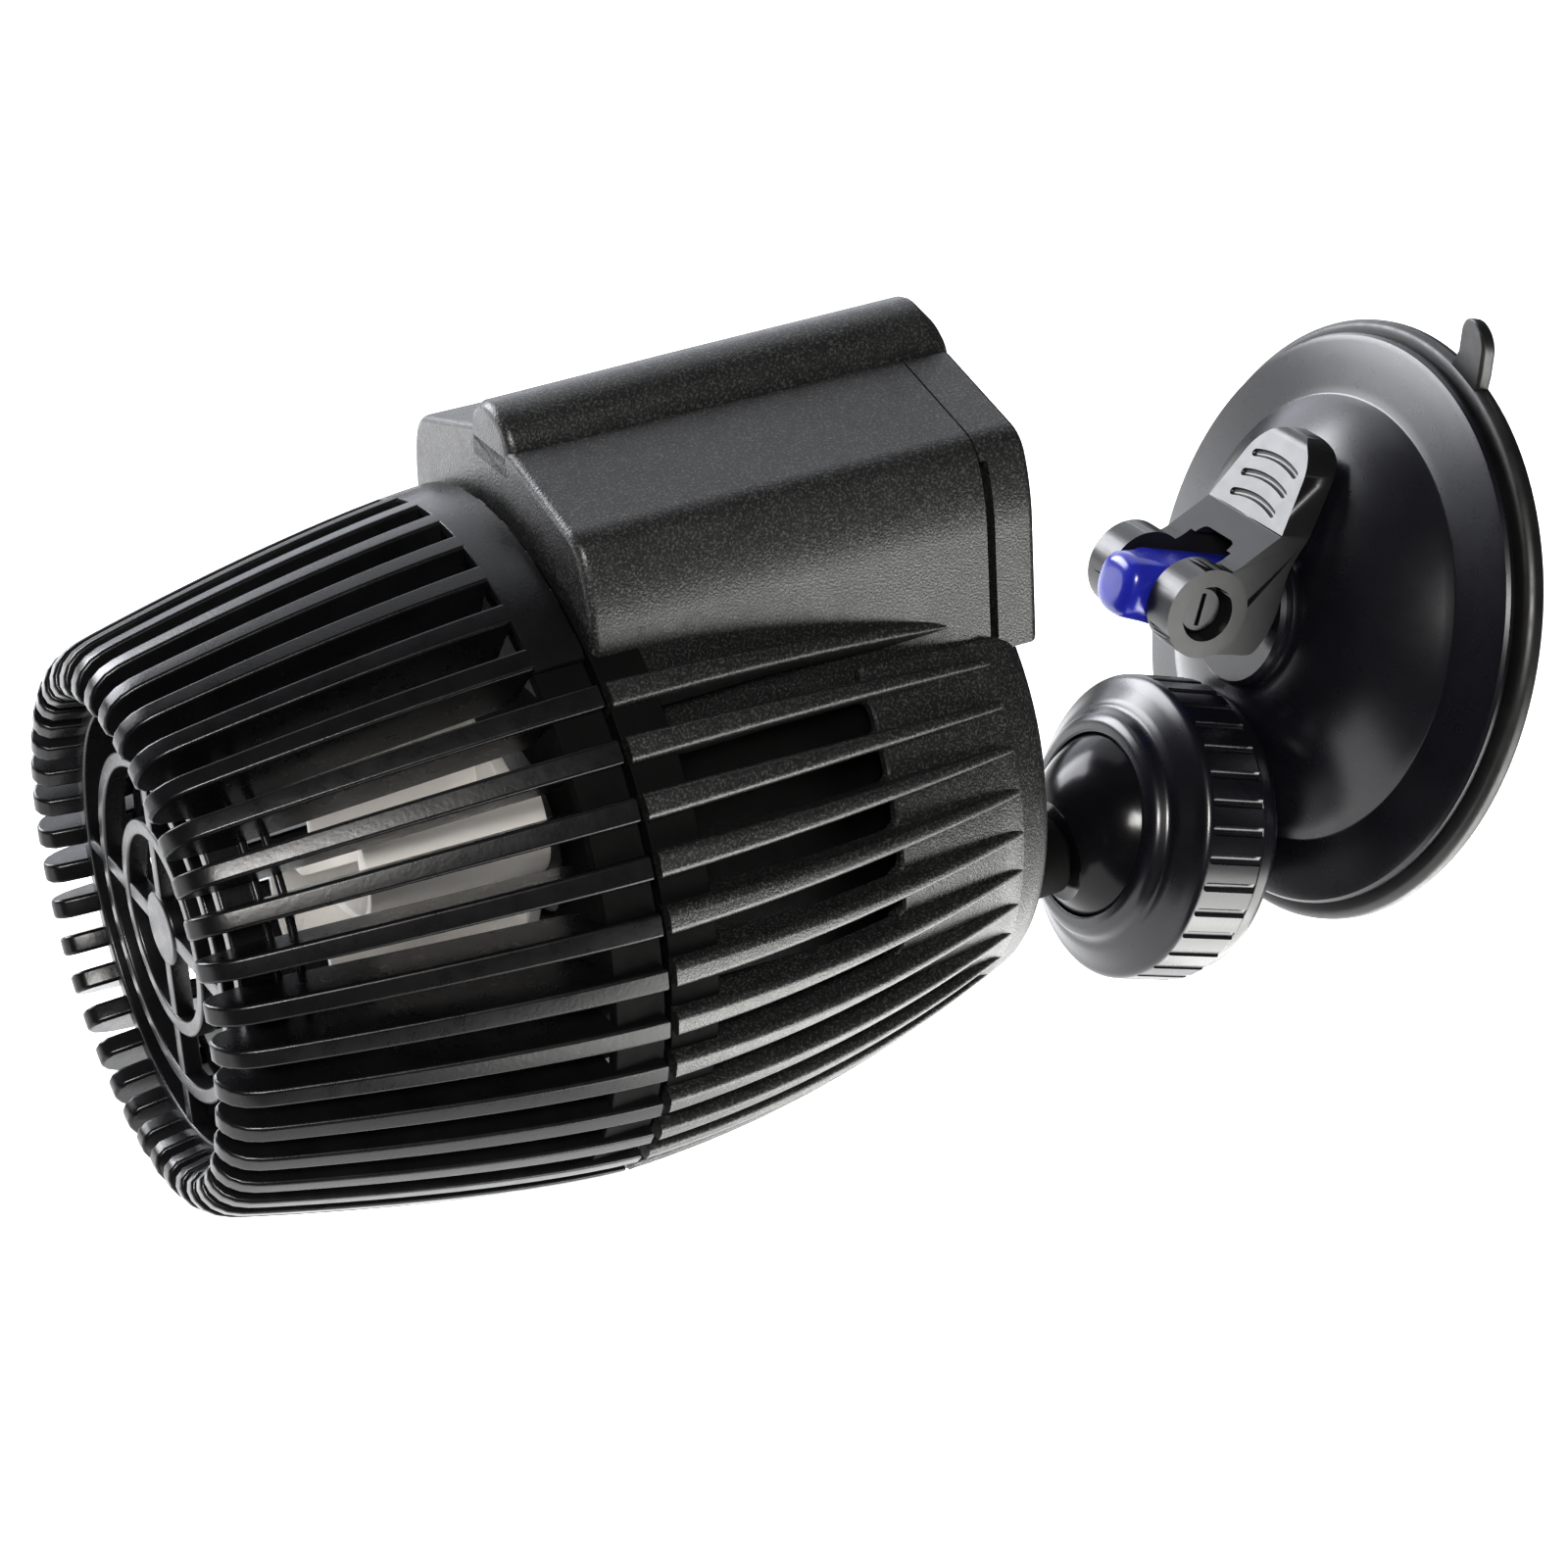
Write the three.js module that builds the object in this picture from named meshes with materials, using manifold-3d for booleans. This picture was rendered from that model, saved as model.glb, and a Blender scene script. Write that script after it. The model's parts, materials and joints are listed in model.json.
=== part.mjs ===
// Wave maker pump on a swivelling suction mount.
//
// Frame: millimetres, +Z up. The origin is the centre of the suction pad's glass face and +Y points
// into the glass. The mount stands out from the glass along -Y, and the pump hangs in front of it.
// The pump is drawn in its own axes, with Y along the shaft (front at -Y), Z up, and its origin
// where the shaft crosses the seam between the front cage and the rear housing. The pump group
// then sets it nose-down in front of the ball joint.

import * as THREE from 'three';
import { mergeVertices } from 'three/addons/utils/BufferGeometryUtils.js';
import Module from 'manifold-3d';

const wasm = await Module();
wasm.setup();

// ---------------------------------------------------------------- driving dimensions

const GAP = 0.3;                      // running gap between neighbouring pieces

// Suction mount, measured out from the glass
const PAD = { radius: 36.6, thick: 2.4, tabAngle: 18, tabWidth: 5.4, tabEnd: 43.5 };
const DOME = { radius: 34.7, brimTop: 4.3, brimInner: 27, brimInnerTop: 5.6, wall: 2.4 };
const PLATEAU = { radius: 9, top: 16.5, base: 14.6 };
const POST = { halfWidth: 4, halfHeight: 3.8, start: 7.1, end: 35.5, tipRise: 1.8, lift: 2 };
const PULL_PLATE = { radius: 13, bottom: 5.2, top: 6.8 };
const AXLE = { out: 27.6, radius: 1.8, headRadius: 2.9, headLength: 1.2, reach: 7.4 };
const LEVER = { bossReach: 9, halfWidth: 7.8, gripHalfWidth: 6.4, bossRadius: 5.5, bore: 2.1, recess: 3.3, tipZ: 23 };
const FORK = { gap: 4.4, top: 8.3, notchHalf: 3.4, notchTop: 9.3 };

// Ball joint
const JOINT = { out: 22.4, drop: 28.5 };         // ball centre: out from the glass, below the pad axis
const BALL_R = 13;
const SEAT_R = BALL_R + GAP;
const PAD_SEAT = { inner: 13.3, outer: 15, cavity: 15.3, halfAngle: 40, cavityHalfAngle: 61 };
const COLLAR = { flangeRadius: 17.4, flangeBase: 14, flangeTop: 16.4, radius: 15.8, top: 24.2 };
const BOWL = { radius: 17.1, footRadius: 6, footOut: 4.6 };     // shell behind the ball's socket
const NUT = { root: 17.7, crest: 18.5, rear: 16.9, edge: 25.7, lip: 29.6, lipRadius: 13.4, teeth: 34 };

// Pump
const PITCH = THREE.MathUtils.degToRad(18.7);    // nose-down tilt at rest
const SEAM = { out: 105.6, drop: 32.8 };         // pump origin in the glass frame
const SEAM_R = 39.8;
const FINS = 40;
const FIN_THICK = 2;
const FRONT = { length: 41, drop: 7.3, power: 1.4, finTip: -46.6 };
const REAR = { length: 51, drop: 9.8, power: 2 };
const SEAM_GAP = 0.5;                            // half the open joint between cage and housing
const BAND = { width: 5.6, recess: 1.2, inner: 36.7, flushHalfAngle: 40 };
const GRILLE = { y: -42, thick: 2.4, outer: 26.2, outerInner: 24.2, mid: 19.3, inner: 12.1, hub: 5 };
const BLOCK = {
  front: 0.8, rear: 48.2, halfWidth: 23.5, wall: 2.4,
  beadRadius: 5.4, beadZ: 45.6, shoulderX: 20.6, shoulderZ: 42.8, cornerZ: 39.4,
};
const COLLAR_INNER = 34.8;
const SHELL = { slotEnd: 34 };
const COVER = { front: 48.9, inner: 51.4, rear: 54, discRadius: 29.3, skirtLow: 20.8 };
const WELL = { inner: 10.2, outer: 11.4, end: 38 };
const STACK = { front: 12, rear: 34, legX: 16, legInner: 8.6, yokeLow: 26, yokeTop: 34, legLow: -9 };
const COIL = { halfLength: 8.2, wall: 1.1, build: 3.2 };
const SHAFT_R = 1.5;
const ROTOR_BORE = 1.8;
const SCREW_SPOTS = [[18.6, 37.2], [-18.6, 37.2], [16.6, -12.6], [-16.6, -12.6]];

const ballInPump = (() => {
  const rise = SEAM.drop - JOINT.drop;
  const back = SEAM.out - JOINT.out;
  return {
    y: back * Math.cos(PITCH) + rise * Math.sin(PITCH),
    z: -back * Math.sin(PITCH) + rise * Math.cos(PITCH),
  };
})();

// ---------------------------------------------------------------- solid helpers

// A closed geometry becomes a solid: only positions are kept, and its faces are turned outwards.
function solid(geometry) {
  const plain = geometry.clone();
  plain.deleteAttribute('normal');
  plain.deleteAttribute('uv');
  const merged = mergeVertices(plain, 1e-4);
  const spots = merged.attributes.position;
  const index = Uint32Array.from(merged.index.array);
  const [a, b, c] = [new THREE.Vector3(), new THREE.Vector3(), new THREE.Vector3()];
  let volume = 0;
  for (let i = 0; i < index.length; i += 3) {
    a.fromBufferAttribute(spots, index[i]);
    b.fromBufferAttribute(spots, index[i + 1]);
    c.fromBufferAttribute(spots, index[i + 2]);
    volume += a.dot(b.cross(c));
  }
  if (volume < 0) {
    for (let i = 0; i < index.length; i += 3) {
      [index[i], index[i + 1]] = [index[i + 1], index[i]];
    }
  }
  const vertProperties = Float32Array.from(spots.array);
  return new wasm.Manifold(new wasm.Mesh({ numProp: 3, vertProperties, triVerts: index }));
}

function geometryOf(manifold) {
  const mesh = manifold.getMesh();
  const geometry = new THREE.BufferGeometry();
  geometry.setAttribute('position', new THREE.BufferAttribute(mesh.vertProperties, 3));
  geometry.setIndex(new THREE.BufferAttribute(mesh.triVerts, 1));
  return geometry;
}

const join = (...solids) => solids.reduce((whole, piece) => whole.add(piece));
const cut = (whole, ...tools) => tools.reduce((rest, tool) => rest.subtract(tool), whole);

// Revolve a closed list of [radius, y] points about the Y axis.
function revolve(profile, segments = 40) {
  const points = profile.map(([r, y]) => new THREE.Vector2(r, y));
  if (profile[0][0] > 0) points.push(points[0].clone());
  return new THREE.LatheGeometry(points, segments);
}

const ring = (inner, outer, y0, y1, segments = 40) =>
  revolve([[inner, y0], [outer, y0], [outer, y1], [inner, y1]], segments);

const rod = (radius, y0, y1, segments = 24) =>
  revolve([[0, y0], [radius, y0], [radius, y1], [0, y1]], segments);

// An outline in X and Z, extruded along Y from y0 to y1.
function prismY(shape, y0, y1, curveSegments = 8) {
  const depth = y1 - y0;
  const geometry = new THREE.ExtrudeGeometry(shape, { depth, bevelEnabled: false, curveSegments });
  return geometry.rotateX(Math.PI / 2).translate(0, y1, 0);
}

// An outline in Y and Z, extruded along X, centred on x = 0.
function prismX(points, thickness) {
  const shape = new THREE.Shape(points.map(([y, z]) => new THREE.Vector2(y, z)));
  const geometry = new THREE.ExtrudeGeometry(shape, { depth: thickness, bevelEnabled: false });
  const axes = new THREE.Matrix4().makeBasis(
    new THREE.Vector3(0, 1, 0), new THREE.Vector3(0, 0, 1), new THREE.Vector3(1, 0, 0));
  return geometry.translate(0, 0, -thickness / 2).applyMatrix4(axes);
}

const box = (x0, x1, y0, y1, z0, z1) =>
  new THREE.BoxGeometry(x1 - x0, y1 - y0, z1 - z0)
    .translate((x0 + x1) / 2, (y0 + y1) / 2, (z0 + z1) / 2);

const circlePoint = (radius, degrees) => {
  const turn = THREE.MathUtils.degToRad(degrees);
  return [radius * Math.cos(turn), radius * Math.sin(turn)];
};

// Points on an arc, in degrees, about the origin of its plane.
function arc(radius, from, to, steps) {
  return Array.from({ length: steps + 1 }, (_, i) => circlePoint(radius, from + (to - from) * i / steps));
}

// ---------------------------------------------------------------- the pump's barrel

// Radius of the fin tops at a distance y from the seam.
function barrel(y) {
  const part = y < 0 ? FRONT : REAR;
  return SEAM_R - part.drop * Math.pow(Math.abs(y) / part.length, part.power);
}

const sweep = (from, to, steps) => Array.from({ length: steps + 1 }, (_, i) => from + (to - from) * i / steps);

const finAngles = Array.from({ length: FINS }, (_, i) => i * 2 * Math.PI / FINS);

function turned(geometry, angle) {
  return geometry.clone().rotateY(angle);
}

// One front fin: its outer edge follows the barrel, its front end is rounded and stands ahead of
// the grille ring, and its inner edge runs straight back to the band.
function frontFin() {
  const outer = sweep(-SEAM_GAP, -FRONT.length, 3).map((y) => [y, barrel(y)]);
  const nose = [[FRONT.finTip + 1.3, 31.4], [FRONT.finTip, 29], [FRONT.finTip + 0.8, 26.6], [GRILLE.y, 25.6]];
  const inner = [[-SEAM_GAP - BAND.width, BAND.inner + 0.2], [-SEAM_GAP, BAND.inner + 0.2]];
  return prismX([...outer, ...nose, ...inner], FIN_THICK);
}

function frontBand() {
  const low = barrel(0) - BAND.recess;
  const rear = -SEAM_GAP;
  const front = -SEAM_GAP - BAND.width;
  const recessed = solid(ring(BAND.inner, low, front, rear));
  const flush = solid(ring(BAND.inner, barrel(-3), front, rear));
  const reach = 60;
  const half = THREE.MathUtils.degToRad(BAND.flushHalfAngle);
  const sector = new THREE.Shape([
    new THREE.Vector2(0, 0),
    new THREE.Vector2(reach * Math.sin(half), reach * Math.cos(half)),
    new THREE.Vector2(0, reach * 1.2),
    new THREE.Vector2(-reach * Math.sin(half), reach * Math.cos(half)),
  ]);
  const wedge = solid(prismY(sector, front - 1, rear + 1));
  return join(recessed, flush.intersect(wedge));
}

const grilleRing = (radius, width) =>
  solid(ring(radius - width / 2, radius + width / 2, GRILLE.y, GRILLE.y + GRILLE.thick, 28));

// The bayonet: three catches inside the cage's band turn in behind three lugs on the housing's spigot.
const LUG = { angles: [90, 210, 330], front: -4, rear: -2.7, inner: 33.8, outer: 36.3, halfWidth: 3.8 };
const CATCH = { front: -2.3, rear: -1, inner: 35, outer: 37.6 };

const bayonetBlocks = ({ front, rear, inner, outer }) => LUG.angles.map((degrees) =>
  solid(turned(box(-LUG.halfWidth, LUG.halfWidth, front, rear, inner, outer), degrees * Math.PI / 180)));

function frontCage() {
  const fin = frontFin();
  const fins = finAngles.map((angle) => solid(turned(fin, angle)));
  const rim = solid(ring(GRILLE.outerInner, GRILLE.outer, GRILLE.y, GRILLE.y + GRILLE.thick));
  const hub = solid(rod(GRILLE.hub, GRILLE.y, GRILLE.y + GRILLE.thick));
  const arm = GRILLE.outerInner + 1;
  const spokeY = [GRILLE.y + 0.2, GRILLE.y + GRILLE.thick - 0.2];
  const spokes = join(solid(box(-arm, arm, ...spokeY, -1, 1)), solid(box(-1, 1, ...spokeY, -arm, arm)));
  const grille = join(rim, grilleRing(GRILLE.mid, 1.8), grilleRing(GRILLE.inner, 1.8), hub, spokes);
  return geometryOf(join(grille, frontBand(), ...bayonetBlocks(CATCH), ...fins));
}

// ---------------------------------------------------------------- rear housing

// Outline of the motor block and chamber, from the bead's foot round the bottom and back, as a
// closed shape in X and Z. inset shrinks it for the pocket and for what sits inside.
function blockShape(inset = 0, bottomRadius = BLOCK.halfWidth) {
  const w = BLOCK.halfWidth - inset;
  const sx = BLOCK.shoulderX - inset * 0.6;
  const sz = BLOCK.shoulderZ - inset;
  const cz = BLOCK.cornerZ - inset * 0.4;
  const top = BLOCK.shoulderZ + 4.2 - inset;
  const r = bottomRadius - inset;
  const right = [[BLOCK.beadRadius, top], [sx, sz], [w - 0.9, sz - 1.2], [w, cz]];
  const bottom = arc(r, 0, -180, 16);
  const left = right.map(([x, z]) => [-x, z]).reverse();
  return new THREE.Shape([...right, ...bottom, ...left].map(([x, z]) => new THREE.Vector2(x, z)));
}

const blockPrism = (y0, y1, inset = 0) => solid(prismY(blockShape(inset), y0, y1));

// A slab between two heights, used to keep one part of an outline.
const slab = (z0, z1) => solid(box(-60, 60, -60, 80, z0, z1));

function rearRib() {
  const end = SHELL.slotEnd + 1;
  const outer = sweep(SEAM_GAP, end, 3).map((y) => [y, barrel(y) - 0.02]);
  const inner = [[end, barrel(end) - 3], [SEAM_GAP, COLLAR_INNER + 0.3]];
  return prismX([...outer, ...inner], FIN_THICK);
}

function rearShell() {
  const outer = sweep(SHELL.slotEnd, REAR.length, 2).map((y) => [barrel(y), y]);
  const web = [[24, REAR.length], [24, 48.6], [barrel(48) - 2.6, 47]];
  return revolve([...outer, ...web, [barrel(SHELL.slotEnd) - 3.4, SHELL.slotEnd]]);
}

function bead() {
  const r = BLOCK.beadRadius;
  const length = COVER.rear - BLOCK.front;
  const body = new THREE.CylinderGeometry(r, r, length, 24).translate(0, BLOCK.front + length / 2, BLOCK.beadZ);
  const chamfer = prismX([[52, 60], [COVER.rear + 0.2, BLOCK.beadZ + 2.6], [60, BLOCK.beadZ + 2.6], [60, 60]], 20);
  return cut(solid(body), solid(chamfer), slab(-60, BLOCK.beadZ - 1));
}

function rearHousing() {
  const chamber = cut(
    blockPrism(BLOCK.front, BLOCK.rear),
    blockPrism(BLOCK.front + BLOCK.wall, BLOCK.rear + 1, BLOCK.wall),
  );
  const collarTop = barrel(0) - BAND.recess;
  const collar = solid(ring(COLLAR_INNER, collarTop, SEAM_GAP, SEAM_GAP + BAND.width));
  const spigot = solid(ring(33, COLLAR_INNER, LUG.front, SEAM_GAP + BAND.width));
  const rib = rearRib();
  const sideAngles = finAngles.filter((angle) => Math.cos(angle) < Math.cos(Math.PI * 35 / 180));
  const ribs = sideAngles.map((angle) => solid(turned(rib, angle)));
  const outside = join(collar, solid(rearShell()), spigot, ...ribs, ...bayonetBlocks(LUG));
  const well = solid(ring(WELL.inner, WELL.outer, BLOCK.front, WELL.end + 1.5, 32));
  const wellEnd = solid(rod(WELL.outer, WELL.end, WELL.end + 1.5, 32));
  const bosses = SCREW_SPOTS.map(([x, z]) => solid(rod(2.7, BLOCK.front + 1, 46.8, 16).translate(x, 0, z)));
  const inside = blockPrism(BLOCK.front + BLOCK.wall, COVER.rear, BLOCK.wall);
  const pilots = SCREW_SPOTS.map(([x, z]) => solid(rod(1.5, 37, 50, 12).translate(x, 0, z)));
  const cableBore = solid(rod(2.9, 42, 60, 16).translate(0, 0, BLOCK.beadZ + 1.2));
  const coverRoom = solid(box(-24, 24, BLOCK.rear, 60, COVER.skirtLow - GAP, 60));
  const shell = join(cut(outside, inside, coverRoom), chamber, bead());
  const core = join(shell, well, wellEnd, ...bosses);
  const wellMouth = solid(rod(WELL.inner, -6, WELL.end, 32));
  return geometryOf(cut(core, wellMouth, cableBore, ...pilots));
}

function cableGrommet() {
  return ring(1.7, 2.6, 46, 51, 16).translate(0, 0, BLOCK.beadZ + 1.2);
}

// ---------------------------------------------------------------- rear cover and its fasteners

function rearCover() {
  const skirt = cut(
    blockPrism(COVER.front, COVER.inner + 0.5), blockPrism(COVER.front - 1, COVER.inner + 1, BLOCK.wall),
    slab(-60, COVER.skirtLow),
  );
  const plate = blockPrism(COVER.inner, COVER.rear);
  const disc = solid(rod(COVER.discRadius, COVER.inner, COVER.rear, 36));
  const boss = solid(rod(6.8, COVER.rear - 1, COVER.rear + 2.6).translate(0, 0, ballInPump.z));
  const notch = solid(
    new THREE.CylinderGeometry(1, 1, 12, 18).scale(BLOCK.beadRadius + 0.3, 1, BLOCK.beadRadius + 0.3)
      .translate(0, 52, BLOCK.beadZ));
  const holes = SCREW_SPOTS.map(([x, z]) => solid(rod(1.5, 40, 60, 12).translate(x, 0, z)));
  const sinks = SCREW_SPOTS.map(([x, z]) => solid(rod(2.8, 52.2, 60, 16).translate(x, 0, z)));
  return geometryOf(cut(join(plate, disc, skirt, boss), notch, ...holes, ...sinks));
}

function coverScrew(x, z) {
  const shank = [[0, 39], [1.2, 40], [1.2, 52.5], [2.4, 52.5], [2.4, 53.8], [0, 53.8]];
  const slot = solid(box(-2, 2, 53.2, 54, -0.35, 0.35));
  return geometryOf(cut(solid(revolve(shank, 16)), slot)).translate(x, 0, z);
}

function coverSeal() {
  const outer = blockPrism(47.1, 49.8, BLOCK.wall + GAP);
  const inner = blockPrism(46, 51, BLOCK.wall + 2);
  const screws = SCREW_SPOTS.map(([x, z]) => solid(rod(1.6, 40, 60, 12).translate(x, 0, z)));
  return geometryOf(cut(outer, inner, slab(BLOCK.beadZ - 1.4, 60), ...screws));
}

// ---------------------------------------------------------------- motor

function statorCore() {
  const { legX, legInner, yokeLow, yokeTop, legLow, front, rear } = STACK;
  const outline = [
    [-legX, legLow], [-legX, yokeTop], [legX, yokeTop], [legX, legLow],
    [legInner, legLow], [legInner, yokeLow], [-legInner, yokeLow], [-legInner, legLow],
  ];
  const shape = new THREE.Shape(outline.map(([x, z]) => new THREE.Vector2(x, z)));
  const bore = solid(rod(WELL.outer + GAP, front - 1, rear + 1, 32));
  return geometryOf(cut(solid(prismY(shape, front, rear)), bore));
}

function coilSleeve(margin, halfLength) {
  const { yokeLow, yokeTop, front, rear } = STACK;
  const spread = [-halfLength, halfLength];
  return solid(box(...spread, front - margin, rear + margin, yokeLow - margin, yokeTop + margin));
}

function coilBobbin() {
  const hole = coilSleeve(GAP, 20);
  const tube = coilSleeve(COIL.wall, COIL.halfLength);
  const flange = coilSleeve(COIL.wall + COIL.build, COIL.halfLength);
  const between = coilSleeve(COIL.wall + COIL.build + 1, COIL.halfLength - 1);
  return geometryOf(cut(join(tube, cut(flange, between)), hole));
}

function coilWinding() {
  const half = COIL.halfLength - 1 - GAP;
  return geometryOf(cut(coilSleeve(COIL.wall + COIL.build - 0.4, half), coilSleeve(COIL.wall + GAP, half + 1)));
}

function pottingResin() {
  const bosses = SCREW_SPOTS.map(([x, z]) => solid(rod(3, 30, 60, 16).translate(x, 0, z)));
  const cableBore = solid(rod(3.2, 30, 60, 16).translate(0, 0, BLOCK.beadZ + 1.2));
  return geometryOf(cut(blockPrism(40.4, 46.6, BLOCK.wall + GAP), cableBore, ...bosses));
}

const rotorMagnet = () => ring(ROTOR_BORE, 9.6, 5, 33.6, 32);

const ceramicShaft = () => rod(SHAFT_R, -16.4, 37.2, 16);

const rearBush = () => revolve([[ROTOR_BORE, 34.8], [4.4, 34.8], [5, 35.4], [5, 37.7], [ROTOR_BORE, 37.7]], 20);

const thrustWasher = (y) => ring(ROTOR_BORE, 3.4, y, y + 0.6, 16);

const wellCap = () => ring(5.4, WELL.inner - GAP, 1.6, 3.4, 32);

// ---------------------------------------------------------------- impeller

const IMPELLER = {
  front: -24, rear: -3, radius: 19, blades: 4, bladeThick: 1.3, hub: 6.2, sweep: 38, start: 6, discRadius: 12,
};

// A blade starts out radial at the hub and hooks round until its tip runs along the rim.
function impellerBlade() {
  const root = IMPELLER.hub - 1;
  const side = (offset) => sweep(0, 1, 8).map((t) => {
    const radius = root + (IMPELLER.radius - root) * Math.sin(t * Math.PI / 2) + offset * t;
    const lean = THREE.MathUtils.degToRad(IMPELLER.start + IMPELLER.sweep * t ** 3);
    const edge = lean - offset * (1 - t) / radius;
    return new THREE.Vector2(radius * Math.cos(edge), radius * Math.sin(edge));
  });
  const half = IMPELLER.bladeThick / 2;
  const shape = new THREE.Shape([...side(-half), ...side(half).reverse()]);
  return prismY(shape, IMPELLER.front, IMPELLER.rear);
}

function impeller() {
  const blade = impellerBlade();
  const blades = Array.from({ length: IMPELLER.blades }, (_, i) =>
    solid(turned(blade, i * 2 * Math.PI / IMPELLER.blades)));
  const hub = solid(rod(IMPELLER.hub, -14, IMPELLER.rear + 0.6));
  const disc = solid(rod(IMPELLER.discRadius, IMPELLER.rear - 1.2, IMPELLER.rear + 0.6, 32));
  const stub = solid(rod(5, IMPELLER.rear, 4.6));
  const bore = solid(rod(ROTOR_BORE, -30, 10, 16));
  const eye = solid(rod(IMPELLER.hub - 0.4, -30, -14));
  return geometryOf(cut(join(disc, ...blades, hub, stub), bore, eye));
}

const impellerCap = () => revolve([[0, -18.4], [2.4, -18.2], [4.6, -16.9], [4.6, -14.3], [1.8, -14.3],
  [1.8, -16.8], [0, -16.8]], 20);

// ---------------------------------------------------------------- ball joint

function ball() {
  const sphere = solid(new THREE.SphereGeometry(BALL_R, 20, 14));
  const bore = solid(rod(3.5, -20, 20));
  const sink = solid(rod(4.9, 4, 20));
  const lead = solid(rod(6, -20, -11.6));
  return geometryOf(cut(sphere, bore, sink, lead));
}

function ballStud() {
  const flangeRear = -(ballInPump.y - COVER.rear - 2.6 - GAP);
  const profile = [
    [0, flangeRear], [6.4, flangeRear], [6.4, flangeRear + 1.6], [5.2, flangeRear + 3],
    [4.9, -13.4], [4.9, -12], [3.2, -12], [3.2, 3.7], [1.4, 3.7], [1.4, -6], [0, -6],
  ];
  return revolve(profile, 20);
}

const ballScrew = () => revolve([[0, -5], [1.1, -5], [1.1, 4.1], [4.4, 4.1], [4.4, 5.2], [3, 6.2], [0, 6.2]], 16);

// Socket pieces are drawn about the ball centre with out measured from the glass.
const fromBall = (out) => JOINT.out - out;

function sphereArc(radius, fromAngle, toAngle, steps) {
  return sweep(fromAngle, toAngle, steps).map((angle) => {
    const turn = THREE.MathUtils.degToRad(angle);
    return [radius * Math.sin(turn), radius * Math.cos(turn)];
  });
}

function socketPad() {
  const { inner, outer, halfAngle } = PAD_SEAT;
  return revolve([...sphereArc(inner, 0, halfAngle, 3), ...sphereArc(outer, halfAngle, 0, 3)], 20);
}

function clampNut() {
  const y = fromBall;
  const shape = new THREE.Shape(Array.from({ length: NUT.teeth }, (_, i) => {
    const pitch = 360 / NUT.teeth;
    return [[NUT.root, 0], [NUT.root, 0.2], [NUT.crest, 0.26], [NUT.crest, 0.94]]
      .map(([r, part]) => new THREE.Vector2(...circlePoint(r, pitch * (i + part))));
  }).flat());
  const pads = solid(prismY(shape, y(24.9), y(NUT.rear)));
  const openAngle = Math.acos((NUT.lip - JOINT.out - 0.3) / SEAT_R) * 180 / Math.PI;
  const closeAngle = Math.acos((COLLAR.top + GAP - JOINT.out) / SEAT_R) * 180 / Math.PI;
  const seat = sphereArc(SEAT_R, 180 - openAngle, 180 - closeAngle, 3);
  const body = [
    ...seat, [COLLAR.radius + GAP, y(COLLAR.top + GAP)], [COLLAR.radius + GAP, y(NUT.rear)],
    [NUT.root, y(NUT.rear)], [NUT.root, y(24.9)], [17.2, y(NUT.edge)], [15.1, y(27.2)],
    [14.2, y(27.5)], [NUT.lipRadius, y(28.9)], [12.6, y(NUT.lip)], [11.6, y(NUT.lip)],
  ];
  const hollow = solid(rod(NUT.root - 0.4, y(30), y(10)));
  return geometryOf(join(cut(pads, hollow), solid(revolve(body, NUT.teeth))));
}

// ---------------------------------------------------------------- suction mount

function suctionPad() {
  const disc = solid(revolve([[0, 0], [PAD.radius, 0], [PAD.radius, -1.5], [PAD.radius - 0.7, -PAD.thick],
    [0, -PAD.thick]], 48));
  const half = PAD.tabWidth / 2;
  const tabShape = new THREE.Shape();
  tabShape.moveTo(-half, PAD.radius - 3);
  tabShape.lineTo(half, PAD.radius - 3);
  tabShape.lineTo(half, PAD.tabEnd - half);
  tabShape.absarc(0, PAD.tabEnd - half, half, 0, Math.PI, false);
  const tab = prismY(tabShape, -2, -0.2);
  const turn = THREE.MathUtils.degToRad(PAD.tabAngle);
  return geometryOf(join(disc, solid(tab.rotateY(turn))));
}

// Outer surface of the dome between its crease and the plateau.
function domeRise(radius) {
  const t = (radius - PLATEAU.radius) / (DOME.brimInner - PLATEAU.radius);
  return DOME.brimInnerTop + (PLATEAU.base - DOME.brimInnerTop) * (1 - Math.pow(t, 1.9));
}

function domeBody() {
  const radii = sweep(DOME.brimInner, PLATEAU.radius, 4);
  const outer = radii.map((r) => [r, -domeRise(r)]);
  const inner = [...radii].reverse().map((r) => [r - 1.2, -(domeRise(r) - DOME.wall)]);
  const base = -(PAD.thick + GAP);
  return revolve([
    [DOME.radius - 0.2, base], [DOME.radius, -3.6], [DOME.radius - 0.5, -DOME.brimTop],
    ...outer, [PLATEAU.radius, -PLATEAU.top], [0, -PLATEAU.top], [0, -(PLATEAU.top - 4)],
    ...inner, [DOME.brimInner, base],
  ], 40);
}

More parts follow.
